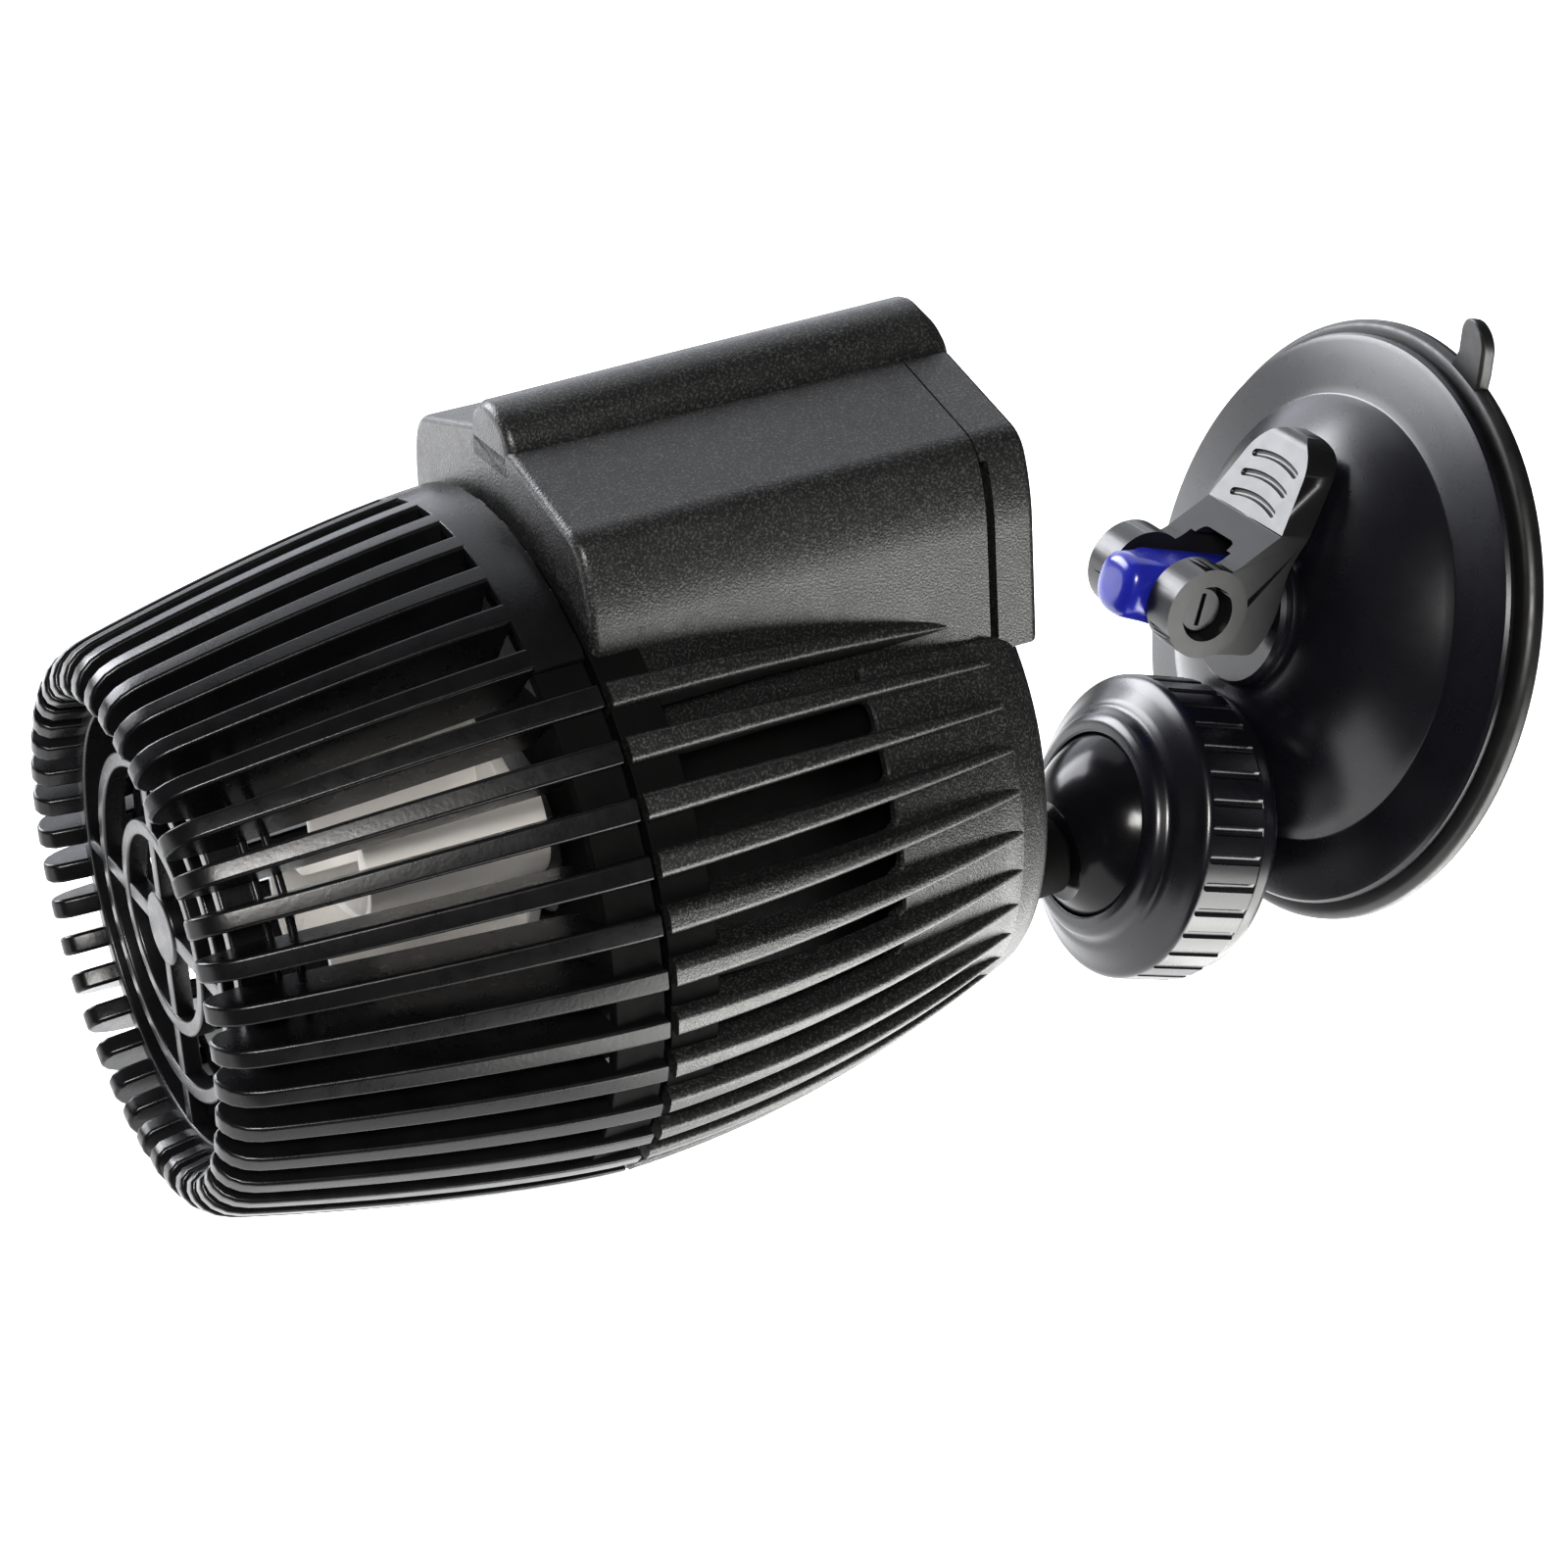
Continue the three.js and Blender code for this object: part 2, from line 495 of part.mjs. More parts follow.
function suctionDome() {
  const y = (out) => -out;
  const flange = solid(rod(COLLAR.flangeRadius, y(COLLAR.flangeTop), y(COLLAR.flangeBase), 32));
  const neck = solid(rod(COLLAR.radius, y(COLLAR.top), y(COLLAR.flangeTop - 1), 32));
  const foot = solid(rod(BOWL.footRadius, y(COLLAR.flangeBase), y(BOWL.footOut), 20));
  const bowl = solid(new THREE.SphereGeometry(BOWL.radius, 24, 14).translate(0, y(JOINT.out), 0))
    .intersect(solid(box(-20, 20, y(COLLAR.flangeTop), y(BOWL.footOut), -20, 20)));
  const seat = solid(new THREE.SphereGeometry(SEAT_R, 20, 14).translate(0, y(JOINT.out), 0));
  const cavity = solid(revolve([
    [0, 0], ...sphereArc(PAD_SEAT.cavity, PAD_SEAT.cavityHalfAngle, 0, 4),
  ], 20).translate(0, y(JOINT.out), 0));
  const atBall = (piece) => piece.translate([0, 0, -JOINT.drop]);
  const half = { x: POST.halfWidth + 0.4, z: POST.halfHeight + 0.4 };
  const window = solid(box(-half.x, half.x, -30, 0, POST.lift - half.z, POST.lift + half.z));
  const room = solid(revolve([[0, -2.9], [22, -2.9], [20.5, -6.2], [14, -9.6], [0, -9.6]], 24));
  const whole = join(solid(domeBody()), ...[flange, neck, foot, bowl].map(atBall));
  return geometryOf(cut(whole, atBall(seat), atBall(cavity), window, room));
}

const acrossAxle = (bar) => bar.rotateZ(-Math.PI / 2).translate(0, -AXLE.out, POST.lift);

function pullPost() {
  const { halfWidth, halfHeight, start, end, tipRise, lift } = POST;
  const outline = [
    [-start, -halfHeight], [-start, halfHeight], [-(end - tipRise), halfHeight],
    [-(end - 0.6), halfHeight * 0.7], [-end, halfHeight * 0.3], [-end, -halfHeight * 0.3],
    [-(end - 0.6), -halfHeight * 0.7], [-(end - tipRise), -halfHeight],
  ];
  const bar = prismX(outline, 2 * halfWidth).translate(0, 0, lift);
  const hole = solid(acrossAxle(rod(AXLE.radius + GAP, -20, 20, 20)));
  return geometryOf(cut(solid(bar), hole));
}

const pullPlate = () => rod(PULL_PLATE.radius, -PULL_PLATE.top, -PULL_PLATE.bottom, 32);

function leverAxle() {
  const { radius, headRadius, headLength, reach } = AXLE;
  const profile = [
    [0, -reach], [headRadius, -reach], [headRadius, headLength - reach], [radius, headLength - reach],
    [radius, reach - headLength], [headRadius, reach - headLength], [headRadius, reach], [0, reach],
  ];
  return acrossAxle(revolve(profile, 20));
}

// The lever seen from the side, as [y, z]: boss, cam foot, underside over the dome, grip and shelf.
function leverSide() {
  const boss = arc(LEVER.bossRadius, 62, 285, 12).map(([y, z]) => [y - AXLE.out, z + POST.lift]);
  const foot = [[-18.7, -3], [-17.3, -0.3], [-16.8, 2], [-16.8, 8.3]];
  const under = [[-15.4, 11.5], [-13.2, 17.5], [-11.8, 21.6]];
  const tip = [[-12.6, LEVER.tipZ - 0.2], [-14.4, LEVER.tipZ], [-15.9, 22.2]];
  const shelf = [[-19.3, 11.9], [-24.2, 7.35]];
  return [...boss, ...foot, ...under, ...tip, ...shelf];
}

// The lever seen from the front, as (x, z): straight sides up to the fold, then a tapering round grip.
function leverPlan() {
  const w = LEVER.halfWidth;
  const centre = LEVER.tipZ - LEVER.gripHalfWidth;
  const tip = arc(LEVER.gripHalfWidth, 12, 168, 10).map(([x, z]) => [x, z + centre]);
  const outline = [[-w, -12], [w, -12], [w, 12], ...tip, [-w, 12]];
  return new THREE.Shape(outline.map(([x, z]) => new THREE.Vector2(x, z)));
}

function lever() {
  const arms = solid(prismX(leverSide(), 2 * LEVER.halfWidth)).intersect(solid(prismY(leverPlan(), -50, 0)));
  const across = (radius, x0, x1, sides = 20) => solid(acrossAxle(rod(radius, x0, x1, sides)));
  const bosses = [[FORK.gap, LEVER.bossReach], [-LEVER.bossReach, -FORK.gap]]
    .map(([x0, x1]) => across(LEVER.bossRadius, x0, x1, 32));
  const fork = solid(box(-FORK.gap, FORK.gap, -50, 0, -12, FORK.top));
  const notch = solid(box(-FORK.notchHalf, FORK.notchHalf, -50, 0, FORK.top - 1, FORK.notchTop));
  const recessDepth = AXLE.reach - AXLE.headLength - GAP;
  return geometryOf(cut(
    join(arms, ...bosses), fork, notch, across(LEVER.bore, -20, 20),
    across(LEVER.recess, recessDepth, 20), across(LEVER.recess, -20, -recessDepth),
  ));
}

// ---------------------------------------------------------------- assembly

const finishes = {
  cage: { color: 0x17181a, roughness: 0.38 },
  housing: { color: 0x1c1d1f, roughness: 0.6 },
  mount: { color: 0x16171a, roughness: 0.35 },
  gloss: { color: 0x0c0c0e, roughness: 0.12 },
  rubber: { color: 0x121212, roughness: 0.75 },
  lever: { color: 0x2a2b2e, roughness: 0.4 },
  blue: { color: 0x2a36b8, roughness: 0.3 },
  white: { color: 0xe9e4dc, roughness: 0.45 },
  ceramic: { color: 0xf2f0ea, roughness: 0.25 },
  ferrite: { color: 0x3a3a3d, roughness: 0.6 },
  steel: { color: 0xb8bbc0, roughness: 0.3, metalness: 1 },
  laminations: { color: 0x8b8e92, roughness: 0.45, metalness: 1 },
  copper: { color: 0xb5642e, roughness: 0.35, metalness: 1 },
  resin: { color: 0x101114, roughness: 0.25 },
};

function piece(name, geometry, finish) {
  const mesh = new THREE.Mesh(geometry, new THREE.MeshStandardMaterial(finishes[finish]));
  mesh.name = name;
  return mesh;
}

const pump = new THREE.Group();
pump.position.set(0, -SEAM.out, -SEAM.drop);
pump.rotation.x = PITCH;
pump.add(
  piece('front_cage', frontCage(), 'cage'),
  piece('rear_housing', rearHousing(), 'housing'),
  piece('rear_cover', rearCover(), 'housing'),
  piece('cover_seal', coverSeal(), 'rubber'),
  piece('cable_grommet', cableGrommet(), 'rubber'),
  piece('stator_core', statorCore(), 'laminations'),
  piece('coil_bobbin', coilBobbin(), 'white'),
  piece('coil_winding', coilWinding(), 'copper'),
  piece('potting_resin', pottingResin(), 'resin'),
  piece('rotor_magnet', rotorMagnet(), 'ferrite'),
  piece('ceramic_shaft', ceramicShaft(), 'ceramic'),
  piece('shaft_bush_rear', rearBush(), 'rubber'),
  piece('thrust_washer', thrustWasher(33.9), 'ceramic'),
  piece('well_cap', wellCap(), 'housing'),
  piece('impeller', impeller(), 'white'),
  piece('impeller_cap', impellerCap(), 'white'),
);
SCREW_SPOTS.forEach(([x, z], i) => pump.add(piece(`cover_screw_${i + 1}`, coverScrew(x, z), 'steel')));

const joint = new THREE.Group();
joint.position.set(0, ballInPump.y, ballInPump.z);
joint.add(
  piece('ball', ball(), 'gloss'),
  piece('ball_stud', ballStud(), 'gloss'),
  piece('ball_screw', ballScrew(), 'steel'),
);
pump.add(joint);

const socket = new THREE.Group();
socket.position.set(0, -JOINT.out, -JOINT.drop);
socket.add(
  piece('socket_pad', socketPad(), 'rubber'),
  piece('clamp_nut', clampNut(), 'mount'),
);

const part = new THREE.Group();
part.add(
  pump,
  socket,
  piece('suction_pad', suctionPad(), 'rubber'),
  piece('suction_dome', suctionDome(), 'mount'),
  piece('pull_post', pullPost(), 'blue'),
  piece('pull_plate', pullPlate(), 'steel'),
  piece('lever_axle', leverAxle(), 'mount'),
  piece('release_lever', lever(), 'lever'),
);

export default part;
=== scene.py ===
"""Looks of the wave maker pump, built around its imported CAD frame."""

import json
import math

import bmesh
import bpy
from mathutils import Matrix, Vector


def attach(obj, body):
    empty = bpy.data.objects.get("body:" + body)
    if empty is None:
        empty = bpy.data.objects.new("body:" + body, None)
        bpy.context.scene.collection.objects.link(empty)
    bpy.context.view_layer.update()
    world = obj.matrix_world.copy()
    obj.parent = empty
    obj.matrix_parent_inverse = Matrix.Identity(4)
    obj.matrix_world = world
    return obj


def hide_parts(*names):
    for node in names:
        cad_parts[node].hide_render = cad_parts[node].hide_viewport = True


# The scene is in metres. Pieces are drawn in millimetres and scaled when they are placed.
MM = 0.001
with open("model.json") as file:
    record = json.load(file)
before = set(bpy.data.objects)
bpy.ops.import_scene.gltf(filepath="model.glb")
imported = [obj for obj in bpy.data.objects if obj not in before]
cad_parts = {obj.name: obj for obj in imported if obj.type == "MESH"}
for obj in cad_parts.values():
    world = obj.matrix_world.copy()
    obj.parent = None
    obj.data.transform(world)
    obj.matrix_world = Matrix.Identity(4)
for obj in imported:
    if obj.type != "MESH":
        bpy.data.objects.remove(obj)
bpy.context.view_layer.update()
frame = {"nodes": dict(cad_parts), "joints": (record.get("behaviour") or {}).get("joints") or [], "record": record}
joints = {joint["name"]: joint for joint in frame["joints"]}

# ------------------------------------------------------------ places, from the frame

spin = joints["impeller_spin"]
shaft_axis = Vector(spin["axis"])
PUMP = Matrix.Translation(spin["pos_m"]) @ Matrix.Rotation(math.atan2(shaft_axis.z, shaft_axis.y), 4, "X")
SOCKET = Matrix.Translation(joints["ball_pitch"]["pos_m"])
STUD = SOCKET @ PUMP.to_3x3().to_4x4()
AXLE = Matrix.Translation(joints["lever_swing"]["pos_m"])
GLASS = Matrix.Identity(4)

# ------------------------------------------------------------ driving sizes, in millimetres

SEAM_R = 39.8
FRONT = {"length": 41, "drop": 7.3, "power": 1.4}
REAR = {"length": 51, "drop": 9.8, "power": 2}
FINS = 40
PITCH = 360 / FINS
SEAM_GAP = 0.5
BAND_WIDTH = 5.6
BAND_RECESS = 1.2
FLUSH_HALF_ANGLE = 38.5
BLOCK_FRONT = 0.8
BLOCK_REAR = 48.0
BLOCK_HALF = 23.5
BEAD_R = 5.4
BEAD_Z = 45.6
COVER_FRONT = 49.0
COVER_REAR = 54
BALL_R = 13
NUT_TEETH = 34
BALL_Y = (STUD.translation - PUMP.translation).dot(shaft_axis) / MM
BALL_Z = (PUMP.inverted() @ STUD.translation).z / MM
AXLE_OUT = -AXLE.translation.y / MM
AXLE_Z = AXLE.translation.z / MM


def barrel(y):
    """Radius of the barrel's surface at a distance y behind the seam."""
    part = FRONT if y < 0 else REAR
    return SEAM_R - part["drop"] * (abs(y) / part["length"]) ** part["power"]


def spread(start, end, steps):
    """Evenly spaced values from start to end, both included."""
    return [start + (end - start) * i / steps for i in range(steps + 1)]


# ------------------------------------------------------------ mesh helpers

def rounded(points, radius, steps=3):
    """A closed outline with its corners rounded. radius is one number, or one for each corner."""
    count = len(points)
    radii = radius if isinstance(radius, (list, tuple)) else [radius] * count
    result = []
    for i, corner in enumerate(points):
        here = Vector(corner)
        before = Vector(points[i - 1]) - here
        after = Vector(points[(i + 1) % count]) - here
        reach = min(radii[i], before.length * 0.49, after.length * 0.49)
        if reach < 1e-4:
            result.append(tuple(here))
            continue
        start = here + before.normalized() * reach
        end = here + after.normalized() * reach
        for t in spread(0, 1, steps):
            point = start * (1 - t) ** 2 + here * 2 * t * (1 - t) + end * t * t
            result.append(tuple(point))
    return result


def grid_faces(rows, columns, wrap_rows, wrap_columns):
    """The four-sided faces of a grid of points, which may close on itself either way."""
    faces = []
    for i in range(rows if wrap_rows else rows - 1):
        for j in range(columns if wrap_columns else columns - 1):
            k = (i + 1) % rows
            m = (j + 1) % columns
            faces.append((i * columns + j, i * columns + m, k * columns + m, k * columns + j))
    return faces


def lathe(profile, segments=96, start=0.0, end=360.0):
    """A closed outline of (radius, y) turned about the Y axis, from the top (+Z) towards +X.
    profile may be a function of the angle in degrees. A part turn gets flat end caps."""
    whole = abs(end - start) >= 360
    turns = spread(start, end, segments)[: segments if whole else segments + 1]
    verts = []
    for turn in turns:
        outline = profile(turn) if callable(profile) else profile
        angle = math.radians(turn)
        verts += [(r * math.sin(angle), y, r * math.cos(angle)) for r, y in outline]
    columns = len(verts) // len(turns)
    faces = grid_faces(len(turns), columns, whole, True)
    if not whole:
        faces.append(tuple(range(columns)))
        faces.append(tuple(range(len(verts) - 1, len(verts) - 1 - columns, -1)))
    return to_bmesh(verts, faces)


def to_bmesh(verts, faces):
    bm = bmesh.new()
    spots = [bm.verts.new(v) for v in verts]
    for face in faces:
        bm.faces.new([spots[i] for i in face])
    bmesh.ops.remove_doubles(bm, verts=bm.verts, dist=1e-5)
    bmesh.ops.dissolve_degenerate(bm, edges=bm.edges, dist=1e-6)
    bmesh.ops.recalc_face_normals(bm, faces=bm.faces)
    return bm


def loft(sections):
    """A closed solid through sections that all have the same number of points."""
    count = len(sections[0])
    total = len(sections) * count
    faces = grid_faces(len(sections), count, False, True)
    faces += [tuple(range(count)), tuple(range(total - 1, total - 1 - count, -1))]
    return to_bmesh([spot for section in sections for spot in section], faces)


def prism(outline, low, high, plane="xz", bevel=0.0, segments=3, both=True):
    """An outline in two axes, given thickness along the third, with its rims bevelled.
    low and high may be functions of the outline's point, for a thickness that varies."""
    order = {"xz": (0, 2, 1), "yz": (1, 2, 0), "xy": (0, 1, 2)}[plane]
    count = len(outline)
    verts = []
    for level in (low, high):
        for point in outline:
            spot = [0.0, 0.0, 0.0]
            spot[order[0]], spot[order[1]] = point
            spot[order[2]] = level(point) if callable(level) else level
            verts.append(spot)
    bm = bmesh.new()
    spots = [bm.verts.new(v) for v in verts]
    first = bm.faces.new(spots[:count])
    second = bm.faces.new(list(reversed(spots[count:])))
    for i in range(count):
        j = (i + 1) % count
        bm.faces.new((spots[i], spots[j], spots[count + j], spots[count + i]))
    bmesh.ops.recalc_face_normals(bm, faces=bm.faces)
    if bevel:
        rims = list(first.edges) + (list(second.edges) if both else [])
        bmesh.ops.bevel(
            bm, geom=rims, offset=bevel, segments=segments, affect="EDGES", profile=0.5, clamp_overlap=True)
    return bm


def box(low, high, bevel=0.0):
    outline = [(low[0], low[2]), (high[0], low[2]), (high[0], high[2]), (low[0], high[2])]
    bm = prism(outline, low[1], high[1])
    if bevel:
        bmesh.ops.bevel(bm, geom=bm.edges[:], offset=bevel, segments=2, affect="EDGES", profile=0.5)
    return bm


def moved(bm, matrix):
    copy = bm.copy()
    bmesh.ops.transform(copy, matrix=matrix, verts=copy.verts)
    return copy


def around(bm, angles):
    """Copies of bm at these angles about the Y axis, counted from the top towards +X."""
    return [moved(bm, Matrix.Rotation(math.radians(angle), 4, "Y")) for angle in angles]


def joined(parts):
    whole = bmesh.new()
    for part in parts:
        scrap = bpy.data.meshes.new("scrap")
        part.to_mesh(scrap)
        whole.from_mesh(scrap)
        bpy.data.meshes.remove(scrap)
        part.free()
    return whole


def mesh_object(name, bm):
    mesh = bpy.data.meshes.new(name)
    bm.to_mesh(mesh)
    bm.free()
    thing = bpy.data.objects.new(name, mesh)
    bpy.context.scene.collection.objects.link(thing)
    return thing


def shaped(base, tools, operation="DIFFERENCE", bevel=0.0, segments=2, angle=35):
    """base with each tool cut from it or joined to it, then its sharp edges bevelled."""
    thing = mesh_object("shaping", base)
    helpers = []
    for tool in tools:
        helper = mesh_object("tool", tool)
        helpers.append(helper)
        modifier = thing.modifiers.new("cut", "BOOLEAN")
        modifier.operation = operation
        modifier.solver = "EXACT"
        modifier.object = helper
    if bevel:
        modifier = thing.modifiers.new("bevel", "BEVEL")
        modifier.width = bevel
        modifier.segments = segments
        modifier.limit_method = "ANGLE"
        modifier.angle_limit = math.radians(angle)
    bpy.context.view_layer.update()
    result = bmesh.new()
    result.from_mesh(thing.evaluated_get(bpy.context.evaluated_depsgraph_get()).to_mesh())
    for scrap in [thing] + helpers:
        data = scrap.data
        bpy.data.objects.remove(scrap)
        bpy.data.meshes.remove(data)
    return result


def piece(name, bm, place, body, material, replaced=(), sharp=35):
    """A finished piece: bm, drawn in millimetres, put in its place on its CAD body."""
    bmesh.ops.transform(bm, matrix=place @ Matrix.Scale(MM, 4), verts=bm.verts)
    thing = mesh_object(name, bm)
    for polygon in thing.data.polygons:
        polygon.use_smooth = True
    thing.data.set_sharp_from_angle(angle=math.radians(sharp))
    thing.modifiers.new("flat_faces", "WEIGHTED_NORMAL").keep_sharp = True
    bpy.context.view_layer.update()
    evaluated = thing.evaluated_get(bpy.context.evaluated_depsgraph_get())
    rough = thing.data
    thing.data = bpy.data.meshes.new_from_object(evaluated)
    thing.data.name = name
    thing.modifiers.clear()
    bpy.data.meshes.remove(rough)
    thing.data.materials.append(material)
    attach(thing, body)
    if replaced:
        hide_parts(*replaced)


# ------------------------------------------------------------ materials

class Nodes:
    """A material's node tree, with short calls for the nodes used here."""

    def __init__(self, name):
        self.material = bpy.data.materials.new(name)
        self.material.use_nodes = True
        self.tree = self.material.node_tree
        self.shader = self.tree.nodes["Principled BSDF"]
        self.place = self.add("ShaderNodeTexCoord").outputs["Object"]

    def add(self, kind, **settings):
        node = self.tree.nodes.new(kind)
        for key, value in settings.items():
            setattr(node, key, value)
        return node

    def link(self, source, target):
        self.tree.links.new(source, target)

    def noise(self, size_mm, detail, roughness=0.55):
        node = self.add("ShaderNodeTexNoise")
        node.inputs["Scale"].default_value = 1 / (size_mm * MM)
        node.inputs["Detail"].default_value = detail
        node.inputs["Roughness"].default_value = roughness
        self.link(self.place, node.inputs["Vector"])
        return node.outputs["Fac"]

    def spread(self, value, low, high, start=0.3, end=0.7):
        node = self.add("ShaderNodeMapRange")
        node.inputs["From Min"].default_value = start
        node.inputs["From Max"].default_value = end
        node.inputs["To Min"].default_value = low
        node.inputs["To Max"].default_value = high
        self.link(value, node.inputs["Value"])
        return node.outputs["Result"]

    def blend(self, factor, first, second):
        """Mixes two colours. The node's colour sockets are its inputs 6 and 7 and its output 2."""
        node = self.add("ShaderNodeMix", data_type="RGBA")
        for socket, colour in ((node.inputs[6], first), (node.inputs[7], second)):
            if isinstance(colour, tuple):
                socket.default_value = (*colour, 1)
            else:
                self.link(colour, socket)
        self.link(factor, node.inputs[0])
        return node.outputs[2]

    def bump(self, height, depth_mm, strength, under=None):
        node = self.add("ShaderNodeBump")
        node.inputs["Strength"].default_value = strength
        node.inputs["Distance"].default_value = depth_mm * MM
        self.link(height, node.inputs["Height"])
        if under is not None:
            self.link(under, node.inputs["Normal"])
        return node.outputs["Normal"]

    def set(self, **values):
        for key, value in values.items():
            self.shader.inputs[key.replace("_", " ")].default_value = value


def plastic(name, dark, light, roughness, grain_mm, grain_depth, painted_glint=None, specular=0.5):
    """Moulded plastic: fine grain, faint flow marks, and a gloss and tone that vary a little.
    The glint colour argument is a painted glint: a lighter colour painted on the highest grains of a textured
    surface."""
    n = Nodes(name)
    wave_mm = 9
    wave_depth = 0.03
    colour = n.blend(n.spread(n.noise(wave_mm * 0.7, 4), 0, 1), dark, light)
    grain = n.noise(grain_mm, 2, 0.5)
    # Painted glint: the highest grains are painted a lighter colour, standing in for light catching them.
    if painted_glint:
        colour = n.blend(n.spread(grain, 0, 1, 0.5, 0.7), colour, painted_glint)
    n.link(colour, n.shader.inputs["Base Color"])
    scuff = n.noise(wave_mm * 0.23, 5, 0.65)
    n.link(n.spread(scuff, roughness[0], roughness[1]), n.shader.inputs["Roughness"])
    waves = n.bump(n.noise(wave_mm, 2), wave_depth, 0.5)
    n.link(n.bump(grain, grain_depth, 1.0, waves), n.shader.inputs["Normal"])
    n.set(IOR=1.52)
    n.shader.inputs["Specular IOR Level"].default_value = specular
    return n.material


def metal(name, dark, light, roughness, grain_mm=0.15):
    """Drawn or rolled metal, brushed along Y."""
    n = Nodes(name)
    stretched = n.add("ShaderNodeMapping")
    stretched.inputs["Scale"].default_value = (1, 0.08, 1)
    n.link(n.place, stretched.inputs["Vector"])
    n.place = stretched.outputs["Vector"]
    brushing = n.noise(grain_mm, 4)
    n.link(n.blend(n.spread(brushing, 0, 1), dark, light), n.shader.inputs["Base Color"])
    n.link(n.spread(brushing, roughness[0], roughness[1]), n.shader.inputs["Roughness"])
    n.link(n.bump(brushing, 0.01, 0.5), n.shader.inputs["Normal"])
    n.set(Metallic=1.0)
    return n.material


# Each finish: its darker and lighter tone, its range of roughness, and its grain's size (and depth) in mm.
materials = {
    "cage_black": plastic(
        "cage_black", (0.003, 0.003, 0.0035), (0.006, 0.006, 0.007), (0.25, 0.33), 0.5, 0.014,
        specular=0.32),
    # The housing's lighter grain colour is a painted glint on the grain tops, not a tone of the plastic.
    "housing_black": plastic(
        "housing_black", (0.008, 0.008, 0.0085), (0.012, 0.012, 0.0125), (0.34, 0.43), 0.27, 0.06,
        painted_glint=(0.06, 0.06, 0.057)),
    # This near-black, matt copy of the black plastic is painted shade: it goes on recessed and hidden pieces where
    # shadow falls.
    "painted_shade_black": plastic(
        "painted_shade_black", (0.001, 0.001, 0.001), (0.002, 0.002, 0.002), (0.7, 0.8), 0.6, 0.01,
        specular=0.12),
    "mount_black": plastic(
        "mount_black", (0.003, 0.003, 0.005), (0.006, 0.006, 0.009), (0.27, 0.285), 0.7, 0.0),
    "lever_black": plastic(
        "lever_black", (0.008, 0.008, 0.009), (0.012, 0.012, 0.013), (0.3, 0.36), 0.6, 0.004),
    "ball_gloss": plastic(
        "ball_gloss", (0.003, 0.003, 0.004), (0.006, 0.006, 0.007), (0.16, 0.22), 1.2, 0.002,
        specular=0.2),
    "post_blue": plastic(
        "post_blue", (0.012, 0.016, 0.24), (0.02, 0.028, 0.34), (0.18, 0.26), 0.8, 0.0),
    "rubber_black": plastic(
        "rubber_black", (0.006, 0.006, 0.006), (0.012, 0.012, 0.012), (0.36, 0.48), 0.7, 0.008),
    "impeller_white": plastic(
        "impeller_white", (0.84, 0.81, 0.77), (0.9, 0.88, 0.85), (0.36, 0.5), 0.6, 0.004),
    "ceramic_white": plastic(
        "ceramic_white", (0.8, 0.79, 0.76), (0.88, 0.87, 0.85), (0.12, 0.22), 0.3, 0.002),
    "magnet_grey": plastic(
        "magnet_grey", (0.05, 0.05, 0.055), (0.09, 0.09, 0.095), (0.5, 0.65), 0.3, 0.01),
    "resin_black": plastic(
        "resin_black", (0.01, 0.01, 0.011), (0.018, 0.018, 0.02), (0.1, 0.25), 3.0, 0.03),
    "core_steel": metal("core_steel", (0.24, 0.25, 0.26), (0.42, 0.43, 0.44), (0.35, 0.5), 0.5),
    "fastener_steel": metal("fastener_steel", (0.48, 0.48, 0.49), (0.66, 0.66, 0.67), (0.2, 0.35)),
    "winding_copper": metal("winding_copper", (0.45, 0.16, 0.06), (0.66, 0.3, 0.14), (0.28, 0.4), 0.3),
}

# ------------------------------------------------------------ front cage

def fin_width(y):
    """A fin is a little thicker where it meets the band than at its nose."""
    length = FRONT["length"]
    return 2.25 + 0.45 * (1 - min(abs(y), length) / length)


def cage_fin():
    """One fin from the side, as (y, radius): outer edge, rounded nose, inner edge and root."""
    outer = [(y, barrel(y)) for y in spread(-SEAM_GAP, -41.3, 14)]
    nose = [(-43, 31.95), (-44.5, 31.3), (-45.7, 30.3), (-46.4, 29.1), (-46.6, 28)]
    nose += [(-46.3, 27), (-45.3, 26.2)]
    inner = [(-42.2, 25.7), (-39.6, 25.7), (-8, 32.2), (-SEAM_GAP - BAND_WIDTH - 0.6, 33)]
    root = [(-SEAM_GAP - BAND_WIDTH, 36.9), (-SEAM_GAP, 36.9)]
    outline = outer + nose + inner + root

    def near(point):
        return -fin_width(point[0]) / 2

    def far(point):
        return fin_width(point[0]) / 2

    return prism(outline, near, far, "yz", bevel=0.42, segments=3)


def front_cage():
    """All the fins, and the part of the band in front of the motor block, which is flush with them."""
    fins = around(cage_fin(), [i * PITCH for i in range(FINS)])
    rear = -SEAM_GAP
    front = rear - BAND_WIDTH
    top = [(barrel(y) + 0.01, y) for y in spread(front, rear, 5)]
    outline = rounded([(36.8, front)] + top + [(36.8, rear)], 0.25, 2)
    flush = lathe(outline, 40, -FLUSH_HALF_ANGLE, FLUSH_HALF_ANGLE)
    return joined(fins + [flush])


def cage_band():
    """The ring that joins the fins' rear ends, sunk below their tops."""
    low = SEAM_R - BAND_RECESS
    front = -SEAM_GAP - BAND_WIDTH
    return lathe(rounded([(36.7, front), (low, front), (low, -SEAM_GAP), (36.7, -SEAM_GAP)], 0.22, 2), 160)


def grille_ring(radius, width, front, rear, corner=0.35):
    half = width / 2
    outline = [(radius - half, front), (radius + half, front), (radius + half, rear), (radius - half, rear)]
    return lathe(rounded(outline, corner, 3), 96)


